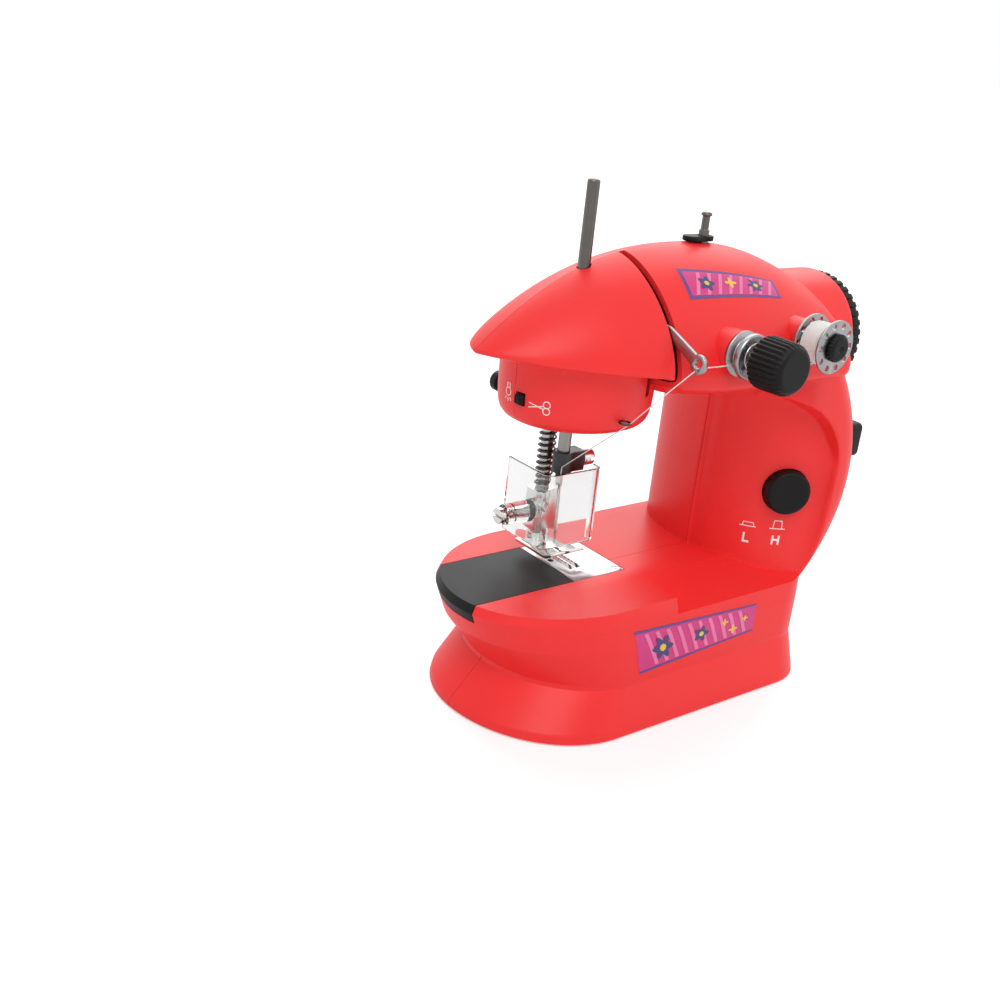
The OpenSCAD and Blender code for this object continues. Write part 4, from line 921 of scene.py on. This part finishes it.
@dataclass
class StitchGroup:
    """Needle, presser foot, clear guard, plate and take-up lever."""

    bench: Bench
    needle: tuple[float, float] = (-29.5, 9.7)
    presser: tuple[float, float] = (-29.5, 20.0)
    guard_z: float = 59.9
    guard_tall: float = 30.5

    def needle_skin(self) -> Skin:
        """Needle: a turned shank, a slim blade and a fine point."""
        profile = [[57, 0], [57.2, .12], [59, .36], [61, .58], [62, .6], [79, .6], [81, 1], [95, 1], [95, 0]]
        return lathe(soften(profile, 0.4, 4), (*self.needle, 0), Z, 24)

    def spring_skin(self) -> Skin:
        """Presser spring: one wire coiled 17 times."""
        path, out = helix(3.25, 3.25, 76.1, 118.2, 17)
        return tube(path + [*self.presser, 0], 0.425, 12, out)

    def guard_skin(self) -> tuple[Skin, Skin]:
        """Clear guard: one pane bent round two soft corners, and its screw boss.

        Returns:
            The pane and the boss.
        """
        line = soften([[-18.1, 3.9], [-18.1, -0.7], [-44.4, -0.7], [-44.4, 24]], 4.0, 9)
        side = unit(np.gradient(line, axis=0))
        out = np.stack([side[:, 1], -side[:, 0]], 1) * 0.6
        outline = np.concatenate([line + out, (line - out)[::-1]])
        pane = prism(outline, self.guard_z, self.guard_z + self.guard_tall, 0.25)
        boss = soften([[0, 1.65], [0, 4.2], [13.9, 4.2], [13.9, 1.65]], 0.6, 4)
        return pane, lathe(boss, (-48, 20, 67.5), X, 40, loop=True)

    def guide_skin(self) -> Skin:
        """Wire guide: a round loop, and the short tail that holds it to the head."""
        s = np.linspace(0, 2 * np.pi, 40, endpoint=False)
        loop = np.stack([-35.5 + 2.1 * np.cos(s), -28.1 + 2.1 * np.sin(s), 119.5 + 0 * s], 1)
        tail = [[-35.5, -26.1, 119.5], [-35.5, -23.1, 119.5]]
        return tube(loop, 0.4, 10, Z, True).plus(tube(tail, 0.4, 10))

    def make(self) -> None:
        """Builds and dresses the group."""
        bench = self.bench
        bench.piece("fine_needle", self.needle_skin(), Look.NICKEL, "needle_body", ("needle",))
        bench.eased("needle_clamp", Look.BLACK_OXIDE, 0.4)
        bench.eased("clamp_screw", Look.NICKEL, 0.25)
        bench.dress("needle_bar", Look.DARK)
        bench.eased("presser_bar", Look.STEEL, 0.3)
        coil = bench.raw("coiled_spring", self.spring_skin())
        coil.data.materials.append(bench.shaders.of(Look.BLACK_OXIDE))
        coil.data.shade_smooth()
        coil.data.set_sharp_from_angle(angle=math.radians(50))
        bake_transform(coil, "housing", "presser_body", (*np.array([*self.presser, 118.4]) * MM,),
                 (*np.array([*self.presser, 75.8]) * MM,))
        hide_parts("presser_spring")
        bench.dress("presser_spring", Look.BLACK_OXIDE)
        bench.eased("foot_holder", Look.NICKEL, 0.5)
        bench.eased("foot_screw", Look.NICKEL, 0.15)
        bench.eased("presser_foot", Look.NICKEL, 0.25)
        bench.eased("foot_pin", Look.STEEL, 0.15)
        pane, boss = self.guard_skin()
        guard = bench.join(bench.raw("bent_guard", pane), bench.raw("boss", boss))
        bench.finish(guard, Look.CLEAR, "presser_body", ("finger_guard",))
        bench.eased("guard_screw", Look.NICKEL, 0.3)
        bench.eased("needle_plate", Look.BRUSHED, 0.15)
        bench.eased("plate_screws", Look.NICKEL, 0.1)
        bench.dress("feed_dog", Look.STEEL)
        bench.eased("take_up_lever", Look.GREY_STEEL, 0.3)
        bench.piece("wire_guide", self.guide_skin(), Look.BLACK_OXIDE, "housing", ("thread_guide",))
        bench.eased("presser_lifter", Look.BLACK, 0.6)


@dataclass
class ThreadGroup:
    """Tension discs, knob and spring, and the winder with its bobbin and wound thread."""

    bench: Bench
    tension: tuple[float, float, float] = Places.tension
    winder: tuple[float, float, float] = Places.winder

    def knob_skin(self) -> Skin:
        """Tension knob: a turned drum with a crowned face, its side cut by 30 round flutes."""
        line = soften([[11.5, 0], [11.5, 8.9], [12.3, 9.7], [23.6, 9.5], [26, 7.6], [25.7, 0]], 1.2, 7)
        deep = np.clip((line[:, 1:2] - 8.2) / 1.2, 0, 1)
        s = np.linspace(0, 2 * np.pi, 360, endpoint=False)[None]
        return lathe(line, self.tension, FRONT, 360, -0.55 * deep * np.abs(np.sin(15 * s)) ** 2.5)

    def disc_skins(self) -> tuple[Skin, Skin]:
        """Tension discs: a thin rear saucer and a thick front cup with a sunk face.

        Returns:
            The rear disc and the front disc.
        """
        rear = soften([[0.1, 2.05], [0.1, 6], [0.8, 8.5], [1.5, 8.5], [2.6, 6.2], [4, 6], [4, 2.05]], 0.35, 4)
        front = soften([[4, 2.05], [4, 6], [4.2, 7.9], [5, 8.5], [6.4, 8.4], [7, 7.9], [6.8, 7.2], [5.7, 6.9],
                        [5.6, 2.05]], 0.3, 4)
        return (lathe(rear, self.tension, FRONT, 72, loop=True),
                lathe(front, self.tension, FRONT, 72, loop=True))

    def bobbin_skin(self) -> Skin:
        """Bobbin: two thin flanges with rolled rims on a hollow core."""
        line = soften([[0, 2.55], [0, 10.15], [0.9, 10.15], [0.9, 3.9], [10.7, 3.9], [10.7, 10.15],
                       [11.6, 10.15], [11.6, 2.55]], 0.3, 4)
        return lathe(line, np.array(self.winder) - [0, 1.3, 0], FRONT, 72, loop=True)

    def winding_skin(self) -> Skin:
        """Thread on the bobbin: one strand wound 15 times over a core that swells in the middle."""
        path, out = helix(7.5, 7.5, 1.35, 10.25, 15, 40)
        swell = 0.25 * np.sin(np.pi * (path[:, 2] - 1.35) / 8.9)
        path = path + out * swell[:, None]
        at = np.array(self.winder) - [0, 1.3, 0]
        line = soften([[0.95, 4.0], [0.95, 7.3], [5.8, 7.6], [10.65, 7.3], [10.65, 4.0]], 0.3, 4)
        core = lathe(line, at, FRONT, 64, loop=True)
        return tube(to_front(path) + at, 0.3, 8, to_front(out)).plus(core)

    def cap_skin(self) -> Skin:
        """Winder cap: a domed black button with a small dimple."""
        line = soften([[13.2, 0], [13.2, 5.0], [13.8, 5.4], [14.8, 5.2], [15.6, 4.0], [15.6, 1.3],
                       [15.2, 1.0], [15.2, 0]], 0.6, 6)
        s = np.linspace(0, 2 * np.pi, 180, endpoint=False)[None]
        rim = np.clip((line[:, 1:2] - 4.6) / 0.5, 0, 1)
        return lathe(line, self.winder, FRONT, 180, -0.25 * rim * np.abs(np.sin(12 * s)) ** 3)

    def make(self) -> None:
        """Builds and dresses the group."""
        bench = self.bench
        bench.piece("fluted_knob", self.knob_skin(), Look.BLACK, "knob_body", ("tension_knob",), 50)
        rear, front = self.disc_skins()
        cup = bench.raw("front_disc", front)
        x, y, z = self.tension
        for a in np.radians([45, 135, 225, 315]):
            spot = np.array([x + 4.9 * np.cos(a), y, z + 4.9 * np.sin(a)])
            bench.cut(cup, rod(spot - [0, 3.9, 0], spot - [0, 8, 0], 1.2, 24))
        bench.finish(cup, Look.GREY_STEEL, "housing", ("tension_discs",))
        bench.piece("rear_disc", rear, Look.GREY_STEEL, "housing")
        path, out = helix(5.2, 3.2, 6.2, 10.6, 3, 40)
        spring = tube(to_front(path) + self.tension, 0.4, 12, to_front(out))
        bench.piece("cone_spring", spring, Look.NICKEL, "housing", ("tension_spring",), 50)
        bench.eased("tension_stud", Look.STEEL, 0.2)
        spool = bench.raw("holed_bobbin", self.bobbin_skin())
        x, y, z = self.winder
        for a in np.radians(np.arange(0, 360, 36)):
            spot = np.array([x + 8.15 * np.cos(a), y, z + 8.15 * np.sin(a)])
            bench.cut(spool, rod(spot, spot - [0, 14, 0], 1.15, 24))
        bench.finish(spool, Look.GREY_STEEL, "winder_body", ("top_bobbin",))
        bench.piece("wound_thread", self.winding_skin(), Look.THREAD, "winder_body", ("bobbin_thread",), 60)
        bench.piece("domed_cap", self.cap_skin(), Look.BLACK, "winder_body", ("winder_cap",), 50)
        bench.dress("winder_spindle", Look.BLACK)


@dataclass
class Controls:
    """Hand wheel, speed button, switches, lamp and the two pins on the crown."""

    bench: Bench

    def wheel_skin(self) -> Skin:
        """Hand wheel: a turned rim with a dished face, its edge cut by 40 grips."""
        line = soften([[-1.5, 3.05], [-1.5, 7.5], [0.5, 7.5], [0.5, 23.6], [1.2, 25.1], [5.6, 25.1],
                       [6.5, 23.7], [6.5, 20.6], [4.7, 19.8], [4.7, 9.6], [6.5, 9], [6.5, 3.05]], 0.5, 5)
        s = np.linspace(0, 2 * np.pi, 400, endpoint=False)[None]
        deep = np.clip((line[:, 1:2] - 22.9) / 1.5, 0, 1)
        cut = -0.7 * deep * np.clip(np.sin(40 * s) * 1.6, -1, 1).clip(0, 1)
        return lathe(line, (89.5, 0, Places.shaft_z), X, 400, cut, True)

    def button_skin(self) -> Skin:
        """Speed button: a round plunger with an eased rim and a faintly dished face."""
        line = soften([[-9, 0], [-9, 9.4], [3.1, 9.4], [4.1, 8.4], [3.9, 5], [3.7, 0]], 0.8, 7)
        return lathe(line, Places.button, Places.button_out, 96)

    def rocker_skin(self) -> Skin:
        """Side switch: a block with round corners and a soft face."""
        loop = soft_loop([[-39.4, 93.8], [-29.4, 93.8], [-29.4, 108.2], [-39.4, 108.2]], 2.6, 8)
        return prism(loop, 79, 90, 1.1, X)

    def slide_skin(self) -> Skin:
        """Light switch: a small block whose face carries three grip ribs."""
        loop = soft_loop([[-4.8, 122], [-1.2, 122], [-1.2, 126], [-4.8, 126]], 0.7, 5)
        body = prism(loop, -65.4, -59, 0.3, X)
        wide, low, high = 0.35, 122.5, 125.5
        loops = [[[y - wide, low], [y + wide, low], [y + wide, high], [y - wide, high]]
                 for y in (-4.0, -3.0, -2.0)]
        ribs = [prism(soft_loop(loop, 0.2, 3), -65.9, -65.2, 0.15, X) for loop in loops]
        return body.plus(*ribs)

    def pin_skins(self) -> tuple[Skin, Skin]:
        """Long spool pin, a plain rod with an eased top, and short pin, a sleeve with a neck and a head.

        Returns:
            The long pin and the short pin.
        """
        long = soften([[150, 0], [150, 2.3], [199.8, 2.3], [200.35, 1.7], [200.35, 0]], 0.3, 4)
        short = soften([[160, 0], [160, 2], [181.8, 2], [181.9, 1.5], [187, 1.5], [187.1, 2.1], [187.9, 2.1],
                        [188.4, 1.6], [188.4, 0]], 0.2, 4)
        return (lathe(long, (Places.long_pin_x, 0, 0), Z, 48),
                lathe(short, (Places.short_pin_x, 0, 0), Z, 48))

    def make(self) -> None:
        """Builds and dresses the controls."""
        bench = self.bench
        bench.piece("knurled_wheel", self.wheel_skin(), Look.BLACK, "shaft_body", ("handwheel",), 50)
        bench.piece("round_button", self.button_skin(), Look.BLACK, "button_body", ("speed_button",), 50)
        bench.piece("rocker", self.rocker_skin(), Look.BLACK, "switch_body", ("side_switch",), 50)
        bench.piece("ribbed_slide", self.slide_skin(), Look.BLACK, "light_body", ("light_switch",), 50)
        long, short = self.pin_skins()
        bench.piece("long_pin", long, Look.DARK, "long_pin_body", ("spool_pin",))
        bench.piece("necked_pin", short, Look.DARK, "short_pin_body", ("short_pin",))
        bench.eased("pin_base", Look.BLACK, 0.35)
        lens = soften([[-4.6, 0], [-4.6, 3.4], [-1.2, 3.4], [0.0, 2.2], [0.1, 0]], 0.8, 6)
        dome = lathe(lens, (*Places.lamp, 111.1), (0, 0, -1), 48)
        bench.piece("lamp_lens", dome, Look.LAMP, "housing", ("lamp",), 60)


class Layer(Enum):
    """Height of each printed layer above the housing, in millimetres."""

    GROUND = 0.08
    FIELD = 0.14
    BAR = 0.2
    BLOOM = 0.26
    HEART = 0.32


@dataclass
class Label:
    """A printed label: four corners, top left first and clockwise, and the way from it to the housing."""

    name: str
    corners: tuple[tuple[float, float, float], ...]
    way: tuple[float, float, float]
    housing: Housing

    def spread(self, u: Array, v: Array) -> Array:
        """Places on the label: u runs right and v down, each from 0 to 1 and straight between the corners."""
        a, b, c, d = np.array(self.corners, float)
        u, v = u[..., None], v[..., None]
        return (a * (1 - u) + b * u) * (1 - v) + (d * (1 - u) + c * u) * v

    def lay(self, u: Array, v: Array, layer: Layer) -> Array:
        """Points of the label on the housing's face, raised to a layer."""
        flat = self.spread(u, v)
        return self.housing.drop(flat.reshape(-1, 3), self.way, layer.value).reshape(flat.shape)

    def patch(self, low: tuple[float, float], high: tuple[float, float], layer: Layer,
              lean: float = 0.0) -> Skin:
        """A four-sided field between two places, its top edge shifted right by `lean`."""
        u, v = np.meshgrid(np.linspace(low[0], high[0], 40), np.linspace(low[1], high[1], 16))
        return grid(self.lay(u + lean * (0.5 - v), v, layer), around=False)

    def bloom(self, place: tuple[float, float], size: float, petals: int, deep: float, layer: Layer) -> Skin:
        """A flower or star: radius size*(1 + deep*cos(petals*s)) round a place, filled by shrinking rings."""
        s = np.linspace(0, 2 * np.pi, 72, endpoint=False)[None]
        k = np.linspace(0.02, 1, 7)[:, None]
        a, b, _, d = np.array(self.corners, float)
        wide, tall = np.linalg.norm(b - a), np.linalg.norm(d - a)
        r = k * size * (1 + deep * np.cos(petals * s))
        return grid(self.lay(place[0] + r * np.cos(s) / wide, place[1] + r * np.sin(s) / tall, layer))

    def put(self, bench: Bench, tag: str, look: Look, *skins: Skin) -> None:
        """Makes one colour of the label, facing out of the housing."""
        obj = bench.raw(f"{self.name}_{tag}", skins[0].plus(*skins[1:]))
        shape = bmesh.new()
        shape.from_mesh(obj.data)
        out = -Vector(self.way)
        bmesh.ops.reverse_faces(shape, faces=[f for f in shape.faces if f.normal.dot(out) < 0])
        shape.to_mesh(obj.data)
        shape.free()
        bench.finish(obj, look, "housing", sharp=80)


@dataclass
class Prints:
    """Two printed labels of flowers and stripes, and the white signs beside the controls."""

    bench: Bench
    housing: Housing

    def upper(self) -> None:
        """Label on the arm: a violet frame round a striped magenta field with two blooms and a star."""
        label = Label("arm_label", ((-8.5, -14.3, 170.2), (37.9, -20.5, 165.3), (36.9, -27.6, 160.2),
                                    (-10.0, -25.6, 161.7)), (0.1, 0.72, -0.69), self.housing)
        bench = self.bench
        label.put(bench, "frame", Look.VIOLET, label.patch((0, 0), (1, 1), Layer.GROUND))
        label.put(bench, "field", Look.MAGENTA, label.patch((0.03, 0.1), (0.97, 0.9), Layer.FIELD))
        starts = np.arange(0.12, 0.9, 0.11)
        stripes = [label.patch((u, 0.12), (u + 0.035, 0.88), Layer.BAR, 0.12) for u in starts]
        label.put(bench, "stripes", Look.PINK, *stripes)
        left, middle, right = (0.22, 0.5), (0.47, 0.45), (0.74, 0.48)
        label.put(bench, "blooms", Look.NAVY, label.bloom(left, 3.0, 5, 0.28, Layer.BLOOM),
                  label.bloom(right, 3.2, 6, 0.25, Layer.BLOOM))
        label.put(bench, "stars", Look.YELLOW, label.bloom(left, 1.1, 8, 0.12, Layer.HEART),
                  label.bloom(middle, 2.0, 4, 0.45, Layer.BLOOM),
                  label.bloom(right, 1.2, 8, 0.12, Layer.HEART))

    def lower(self) -> None:
        """Label on the base: a magenta field with pale bars, two blooms and a run of small stars."""
        label = Label("base_label", ((-28.5, -41.3, 40.0), (39.4, -41.9, 37.4), (38.2, -43.3, 25.9),
                                     (-24.6, -43.6, 22.0)), (0.0, 0.99, 0.1), self.housing)
        bench = self.bench
        label.put(bench, "field", Look.MAGENTA, label.patch((0, 0), (1, 1), Layer.GROUND))
        label.put(bench, "edge", Look.VIOLET, label.patch((0, 0), (1, 0.06), Layer.FIELD),
                  label.patch((0, 0.94), (1, 1), Layer.FIELD))
        starts = np.arange(0.1, 0.95, 0.085)
        bars = [label.patch((u, 0.1), (u + 0.03, 0.9), Layer.BAR, -0.08) for u in starts]
        label.put(bench, "bars", Look.PINK, *bars)
        left, middle = (0.2, 0.52), (0.52, 0.48)
        label.put(bench, "blooms", Look.NAVY, label.bloom(left, 4.6, 6, 0.26, Layer.BLOOM),
                  label.bloom(middle, 3.4, 5, 0.3, Layer.BLOOM))
        small = (((0.72, 0.35), 1.5), ((0.8, 0.66), 1.9), ((0.9, 0.4), 1.3))
        label.put(bench, "stars", Look.YELLOW, label.bloom(left, 1.7, 8, 0.1, Layer.HEART),
                  label.bloom(middle, 1.3, 8, 0.1, Layer.HEART),
                  *[label.bloom(place, size, 4, 0.45, Layer.BLOOM) for place, size in small])

    def sign(self, name: str, place: Array, right: Array, way: Array, lines: list[Array],
             pen: float) -> None:
        """White lines drawn on the plane of `right` and Z, each carried along `way` to the housing.

        Args:
            name: of the piece.
            place: the sign's middle.
            right: direction of the sign's first coordinate.
            way: direction towards the skin.
            lines: points by two, in millimetres.
            pen: half the width of a line.
        """
        e = unit(np.asarray(right, float))
        skins = []
        for line in lines:
            p = np.asarray(line, float)
            steps = np.linspace(0, len(p) - 1, 12 * (len(p) - 1) + 1)
            q = np.stack([np.interp(steps, np.arange(len(p)), c) for c in p.T], 1)
            laid = self.housing.drop(np.array(place) + q[:, :1] * e + q[:, 1:] * np.array(Z), way, 0.0)
            skins.append(tube(laid, pen, 8, -np.asarray(way, float)))
        self.bench.piece(name, skins[0].plus(*skins[1:]), Look.WHITE_INK, "housing", sharp=80)

    @staticmethod
    def ring(x: float, z: float, radius: float) -> Array:
        """A closed circle drawn as a line."""
        s = np.linspace(0, 2 * np.pi, 25)
        return np.stack([x + radius * np.cos(s), z + radius * np.sin(s)], 1)

    @staticmethod
    def button_lines(tall: float, half: float) -> list[list[list[float]]]:
        """A button seen from the side: a base line, and a cap of a height and half width on it."""
        cap = [[-half, 0], [-half + 0.3, tall], [half - 0.3, tall], [half, 0]]
        return [[[-3.2, 0], [3.2, 0]], cap]

    def signs(self) -> None:
        """Scissors and lamp on the head, and the letters L and H under a low and a high button outline."""
        head_in, along = (0.9, 0.44, 0.0), (0.443, -0.897, 0.0)
        blades = [[[-4.2, -0.9], [1.4, 0.5]], [[-4.2, 0.9], [1.4, -0.5]]]
        self.sign("scissors_sign", (-61.2, -10.6, 123.0), along, head_in,
                  [*blades, self.ring(2.7, 1.2, 1.25), self.ring(2.7, -1.2, 1.25)], 0.2)
        cap = [[-0.8, 2.2], [-0.8, 3.9], [0.8, 3.9], [0.8, 2.2]]
        rays = [[[0, -1.4], [0, -2.8]], [[-1.2, -1.2], [-1.9, -2.4]], [[1.2, -1.2], [1.9, -2.4]]]
        self.sign("lamp_sign", (-64.5, 3.6, 124.2), (0, -1, 0), (1, 0, 0),
                  [cap, self.ring(0, 0.8, 1.5), *rays], 0.18)
        slope, right = (0.6, 0.8, 0.0), (0.766, -0.643, 0.0)
        low, high = np.array([47.6, -23.6, 58.2]), np.array([56.9, -31.4, 58.3])
        self.sign("low_letter", low, right, slope, [[[-1.1, 2.0], [-1.1, -2.0], [1.3, -2.0]]], 0.5)
        self.sign("high_letter", high, right, slope,
                  [[[-1.3, 2.0], [-1.3, -2.0]], [[1.3, 2.0], [1.3, -2.0]], [[-1.3, 0], [1.3, 0]]], 0.5)
        above = np.array([0, 0, 5.0])
        self.sign("low_outline", low + above, right, slope, self.button_lines(1.7, 2.3), 0.2)
        self.sign("high_outline", high + above, right, slope, self.button_lines(3.6, 1.9), 0.2)

    def make(self) -> None:
        """Lays the labels and the signs."""
        self.upper()
        self.lower()
        self.signs()


@dataclass
class Thread:
    """The white thread from the bobbin through the discs, the lever and the wire guide to the needle."""

    bench: Bench
    radius: float = 0.2
    aside: tuple[float, float, float] = (0.36, 0.22, 0.91)

    def strand(self, name: str, points: Array, ends: tuple[str, str]) -> None:
        """One stretch of thread between two bodies.

        Args:
            name: of the piece.
            points: its route.
            ends: the bodies at its first and last point.
        """
        p = soften(np.asarray(points, float), 1.5, 6)
        obj = self.bench.raw(name, tube(p, self.radius, 8, self.aside))
        obj.data.materials.append(self.bench.shaders.of(Look.THREAD))
        obj.data.shade_smooth()
        if ends[0] == ends[1]:
            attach(obj, ends[0])
        else:
            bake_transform(obj, *ends, tuple(p[0] * MM), tuple(p[-1] * MM))
        LOG.info("%s: thread", name)

    def make(self) -> None:
        """Runs the thread."""
        eye, loop, grip = (-22.3, -46.4, 143.55), (-35.5, -30.0, 119.3), (-33.0, 5.6, 90.5)
        disc = (-3.4, -45.7, 143.0)
        self.strand("thread_to_discs",
                    [(37.6, -48.5, 141.0), (8.9, -45.7, 143.2), (6.6, -45.7, 140.9), (2.7, -45.7, 139.8),
                     (-1.2, -45.7, 140.9), disc], ("housing", "housing"))
        self.strand("thread_to_lever", [disc, (-12, -46.0, 143.2), eye], ("housing", "lever_body"))
        self.strand("thread_to_guide", [eye, (-29, -38.0, 131.4), loop], ("lever_body", "housing"))
        self.strand("thread_to_clamp", [loop, (-34.2, -12.0, 104.9), grip], ("housing", "needle_body"))
        self.strand("thread_to_needle",
                    [grip, (-31.6, 7.4, 85.5), (-29.6, 8.9, 80), (-29.5, 8.95, 66), (-29.5, 9.2, 62.5),
                     (-29.5, 10.5, 62.3), (-29.8, 12.5, 60.6), (-30.1, 14.2, 58.6)],
                    ("needle_body", "needle_body"))


@dataclass
class Underside:
    """Bottom cover, battery door, feet and screws."""

    bench: Bench

    def make(self) -> None:
        """Eases and dresses the pieces under and behind the machine."""
        bench = self.bench
        bench.eased("bottom_cover", Look.RED, 0.3)
        bench.eased("battery_door", Look.RED, 0.3)
        bench.eased("rubber_feet", Look.RUBBER, 0.25)
        bench.eased("shell_screws", Look.STEEL, 0.15)


@dataclass
class Drive:
    """The hidden mechanism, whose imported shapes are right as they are."""

    bench: Bench

    def make(self) -> None:
        """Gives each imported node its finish."""
        looks = {
            Look.CAST: ("frame", "motor"), Look.BRONZE: ("shaft_bushes", "bar_bushes"),
            Look.STEEL: ("main_shaft", "lower_shaft", "lever_pin", "shuttle_hook", "lower_bobbin",
                         "presser_collar"),
            Look.DARK: ("crank_disc", "bobbin_case", "needle_yoke"),
            Look.NYLON: ("upper_pulley", "lower_pulley", "drive_pulley", "motor_pulley"),
            Look.BELT: ("timing_belt", "drive_belt"),
        }
        for look, names in looks.items():
            for name in names:
                self.bench.dress(name, look)


@dataclass
class Studio:
    """Pale floor, soft light and the photograph's camera; places are in metres, angles in degrees."""

    eye: tuple[float, float, float] = (-0.32312, -0.32235, 0.24708)
    back: tuple[float, float, float] = (-0.5796, -0.7274, 0.3674)
    azimuth: float = -38.549
    roll: float = 5.823
    focal: float = 43.22
    sensor: float = 36.0
    shade: float = 0.42
    floor_half: float = 60.0
    floor_glow: float = 0.3

    def camera(self) -> None:
        """Sets the camera where the photograph was taken from, rolled a little to the right."""
        back = np.array(self.back)
        az, roll = math.radians(self.azimuth), math.radians(self.roll)
        flat = np.array([math.cos(az), math.sin(az), 0.0])
        up = np.cross(back, flat)
        right = flat * math.cos(roll) + up * math.sin(roll)
        top = -flat * math.sin(roll) + up * math.cos(roll)
        lens = bpy.data.cameras.new("camera")
        lens.lens, lens.sensor_width, lens.clip_start, lens.clip_end = self.focal, self.sensor, 0.01, 20.0
        obj = bpy.data.objects.new("camera", lens)
        turn = Matrix(np.stack([right, top, back], 1).tolist()).to_4x4()
        obj.matrix_world = Matrix.Translation(self.eye) @ turn
        bpy.context.scene.collection.objects.link(obj)
        bpy.context.scene.camera = obj

    def lamp(self, name: str, place: Array, spread: float, strength: float) -> None:
        """A broad even light from one side.

        Args:
            name: of the light.
            place: the direction that it comes from.
            spread: its width, in degrees.
            strength: its power for each square metre.
        """
        light = bpy.data.lights.new(name, "SUN")
        light.angle, light.energy = math.radians(spread), strength
        obj = bpy.data.objects.new(name, light)
        obj.rotation_euler = (-Vector(place)).to_track_quat("-Z", "Y").to_euler()
        bpy.context.scene.collection.objects.link(obj)

    def sky(self) -> None:
        """A world that is white to the camera and in reflections, and a plain grey light elsewhere."""
        world = bpy.data.worlds.new("studio")
        world.use_nodes = True
        tree = world.node_tree
        add, link = tree.nodes.new, tree.links.new
        back, ray, mix = tree.nodes["Background"], add("ShaderNodeLightPath"), add("ShaderNodeMapRange")
        back.inputs["Color"].default_value = (1, 1, 1, 1)
        through = calc(tree, "MAXIMUM", ray.outputs["Is Camera Ray"], ray.outputs["Is Transmission Ray"])
        seen = calc(tree, "MAXIMUM", through.outputs[0], ray.outputs["Is Glossy Ray"])
        mix.inputs["To Min"].default_value = self.shade
        link(seen.outputs[0], mix.inputs["Value"])
        link(mix.outputs["Result"], back.inputs["Strength"])
        bpy.context.scene.world = world

    def floor(self) -> None:
        """A wide pale floor that takes the machine's shadow."""
        span = np.linspace(-self.floor_half, self.floor_half, 5)
        x, y = np.meshgrid(span, span)
        skin = grid(np.stack([x, y, 0 * x], -1), around=False)
        mesh = bpy.data.meshes.new("floor")
        mesh.from_pydata(skin.points.tolist(), [], skin.faces)
        obj = bpy.data.objects.new("floor", mesh)
        bpy.context.scene.collection.objects.link(obj)
        material = bpy.data.materials.new("pale_floor")
        material.use_nodes = True
        tree = material.node_tree
        shader, ray = tree.nodes["Principled BSDF"], tree.nodes.new("ShaderNodeLightPath")
        fill(shader, {"Base Color": (0.9, 0.9, 0.9, 1), "Roughness": 0.9, "Emission Color": (1, 1, 1, 1)})
        glow = calc(tree, "MULTIPLY", ray.outputs["Is Camera Ray"], self.floor_glow)
        tree.links.new(glow.outputs[0], shader.inputs["Emission Strength"])
        mesh.materials.append(material)

    def make(self) -> None:
        """Builds the studio."""
        bpy.context.scene.view_settings.view_transform = "Standard"
        self.camera()
        self.sky()
        self.floor()
        self.lamp("key", (-0.4, -0.5, 0.85), 40, 1.4)
        self.lamp("fill", (0.8, -0.7, 0.5), 60, 0.35)
        self.lamp("back", (0.5, 0.65, 0.8), 60, 1.4)


def main() -> None:
    """Builds the machine's groups in order."""
    logging.basicConfig(level=logging.INFO, format="%(message)s")
    for spare in [o for o in bpy.data.objects if o.type in {"LIGHT", "CAMERA"} or o.name == "Cube"]:
        bpy.data.objects.remove(spare)
    Studio().make()
    bench = Bench(Shaders())
    housing = Housing(bench)
    housing.make()
    for group in (StitchGroup, ThreadGroup, Controls, Underside, Drive, Thread):
        group(bench).make()
    Prints(bench, housing).make()
    LOG.info("undressed nodes: %s", sorted(bench.undressed))


if __name__ == "__main__":
    main()
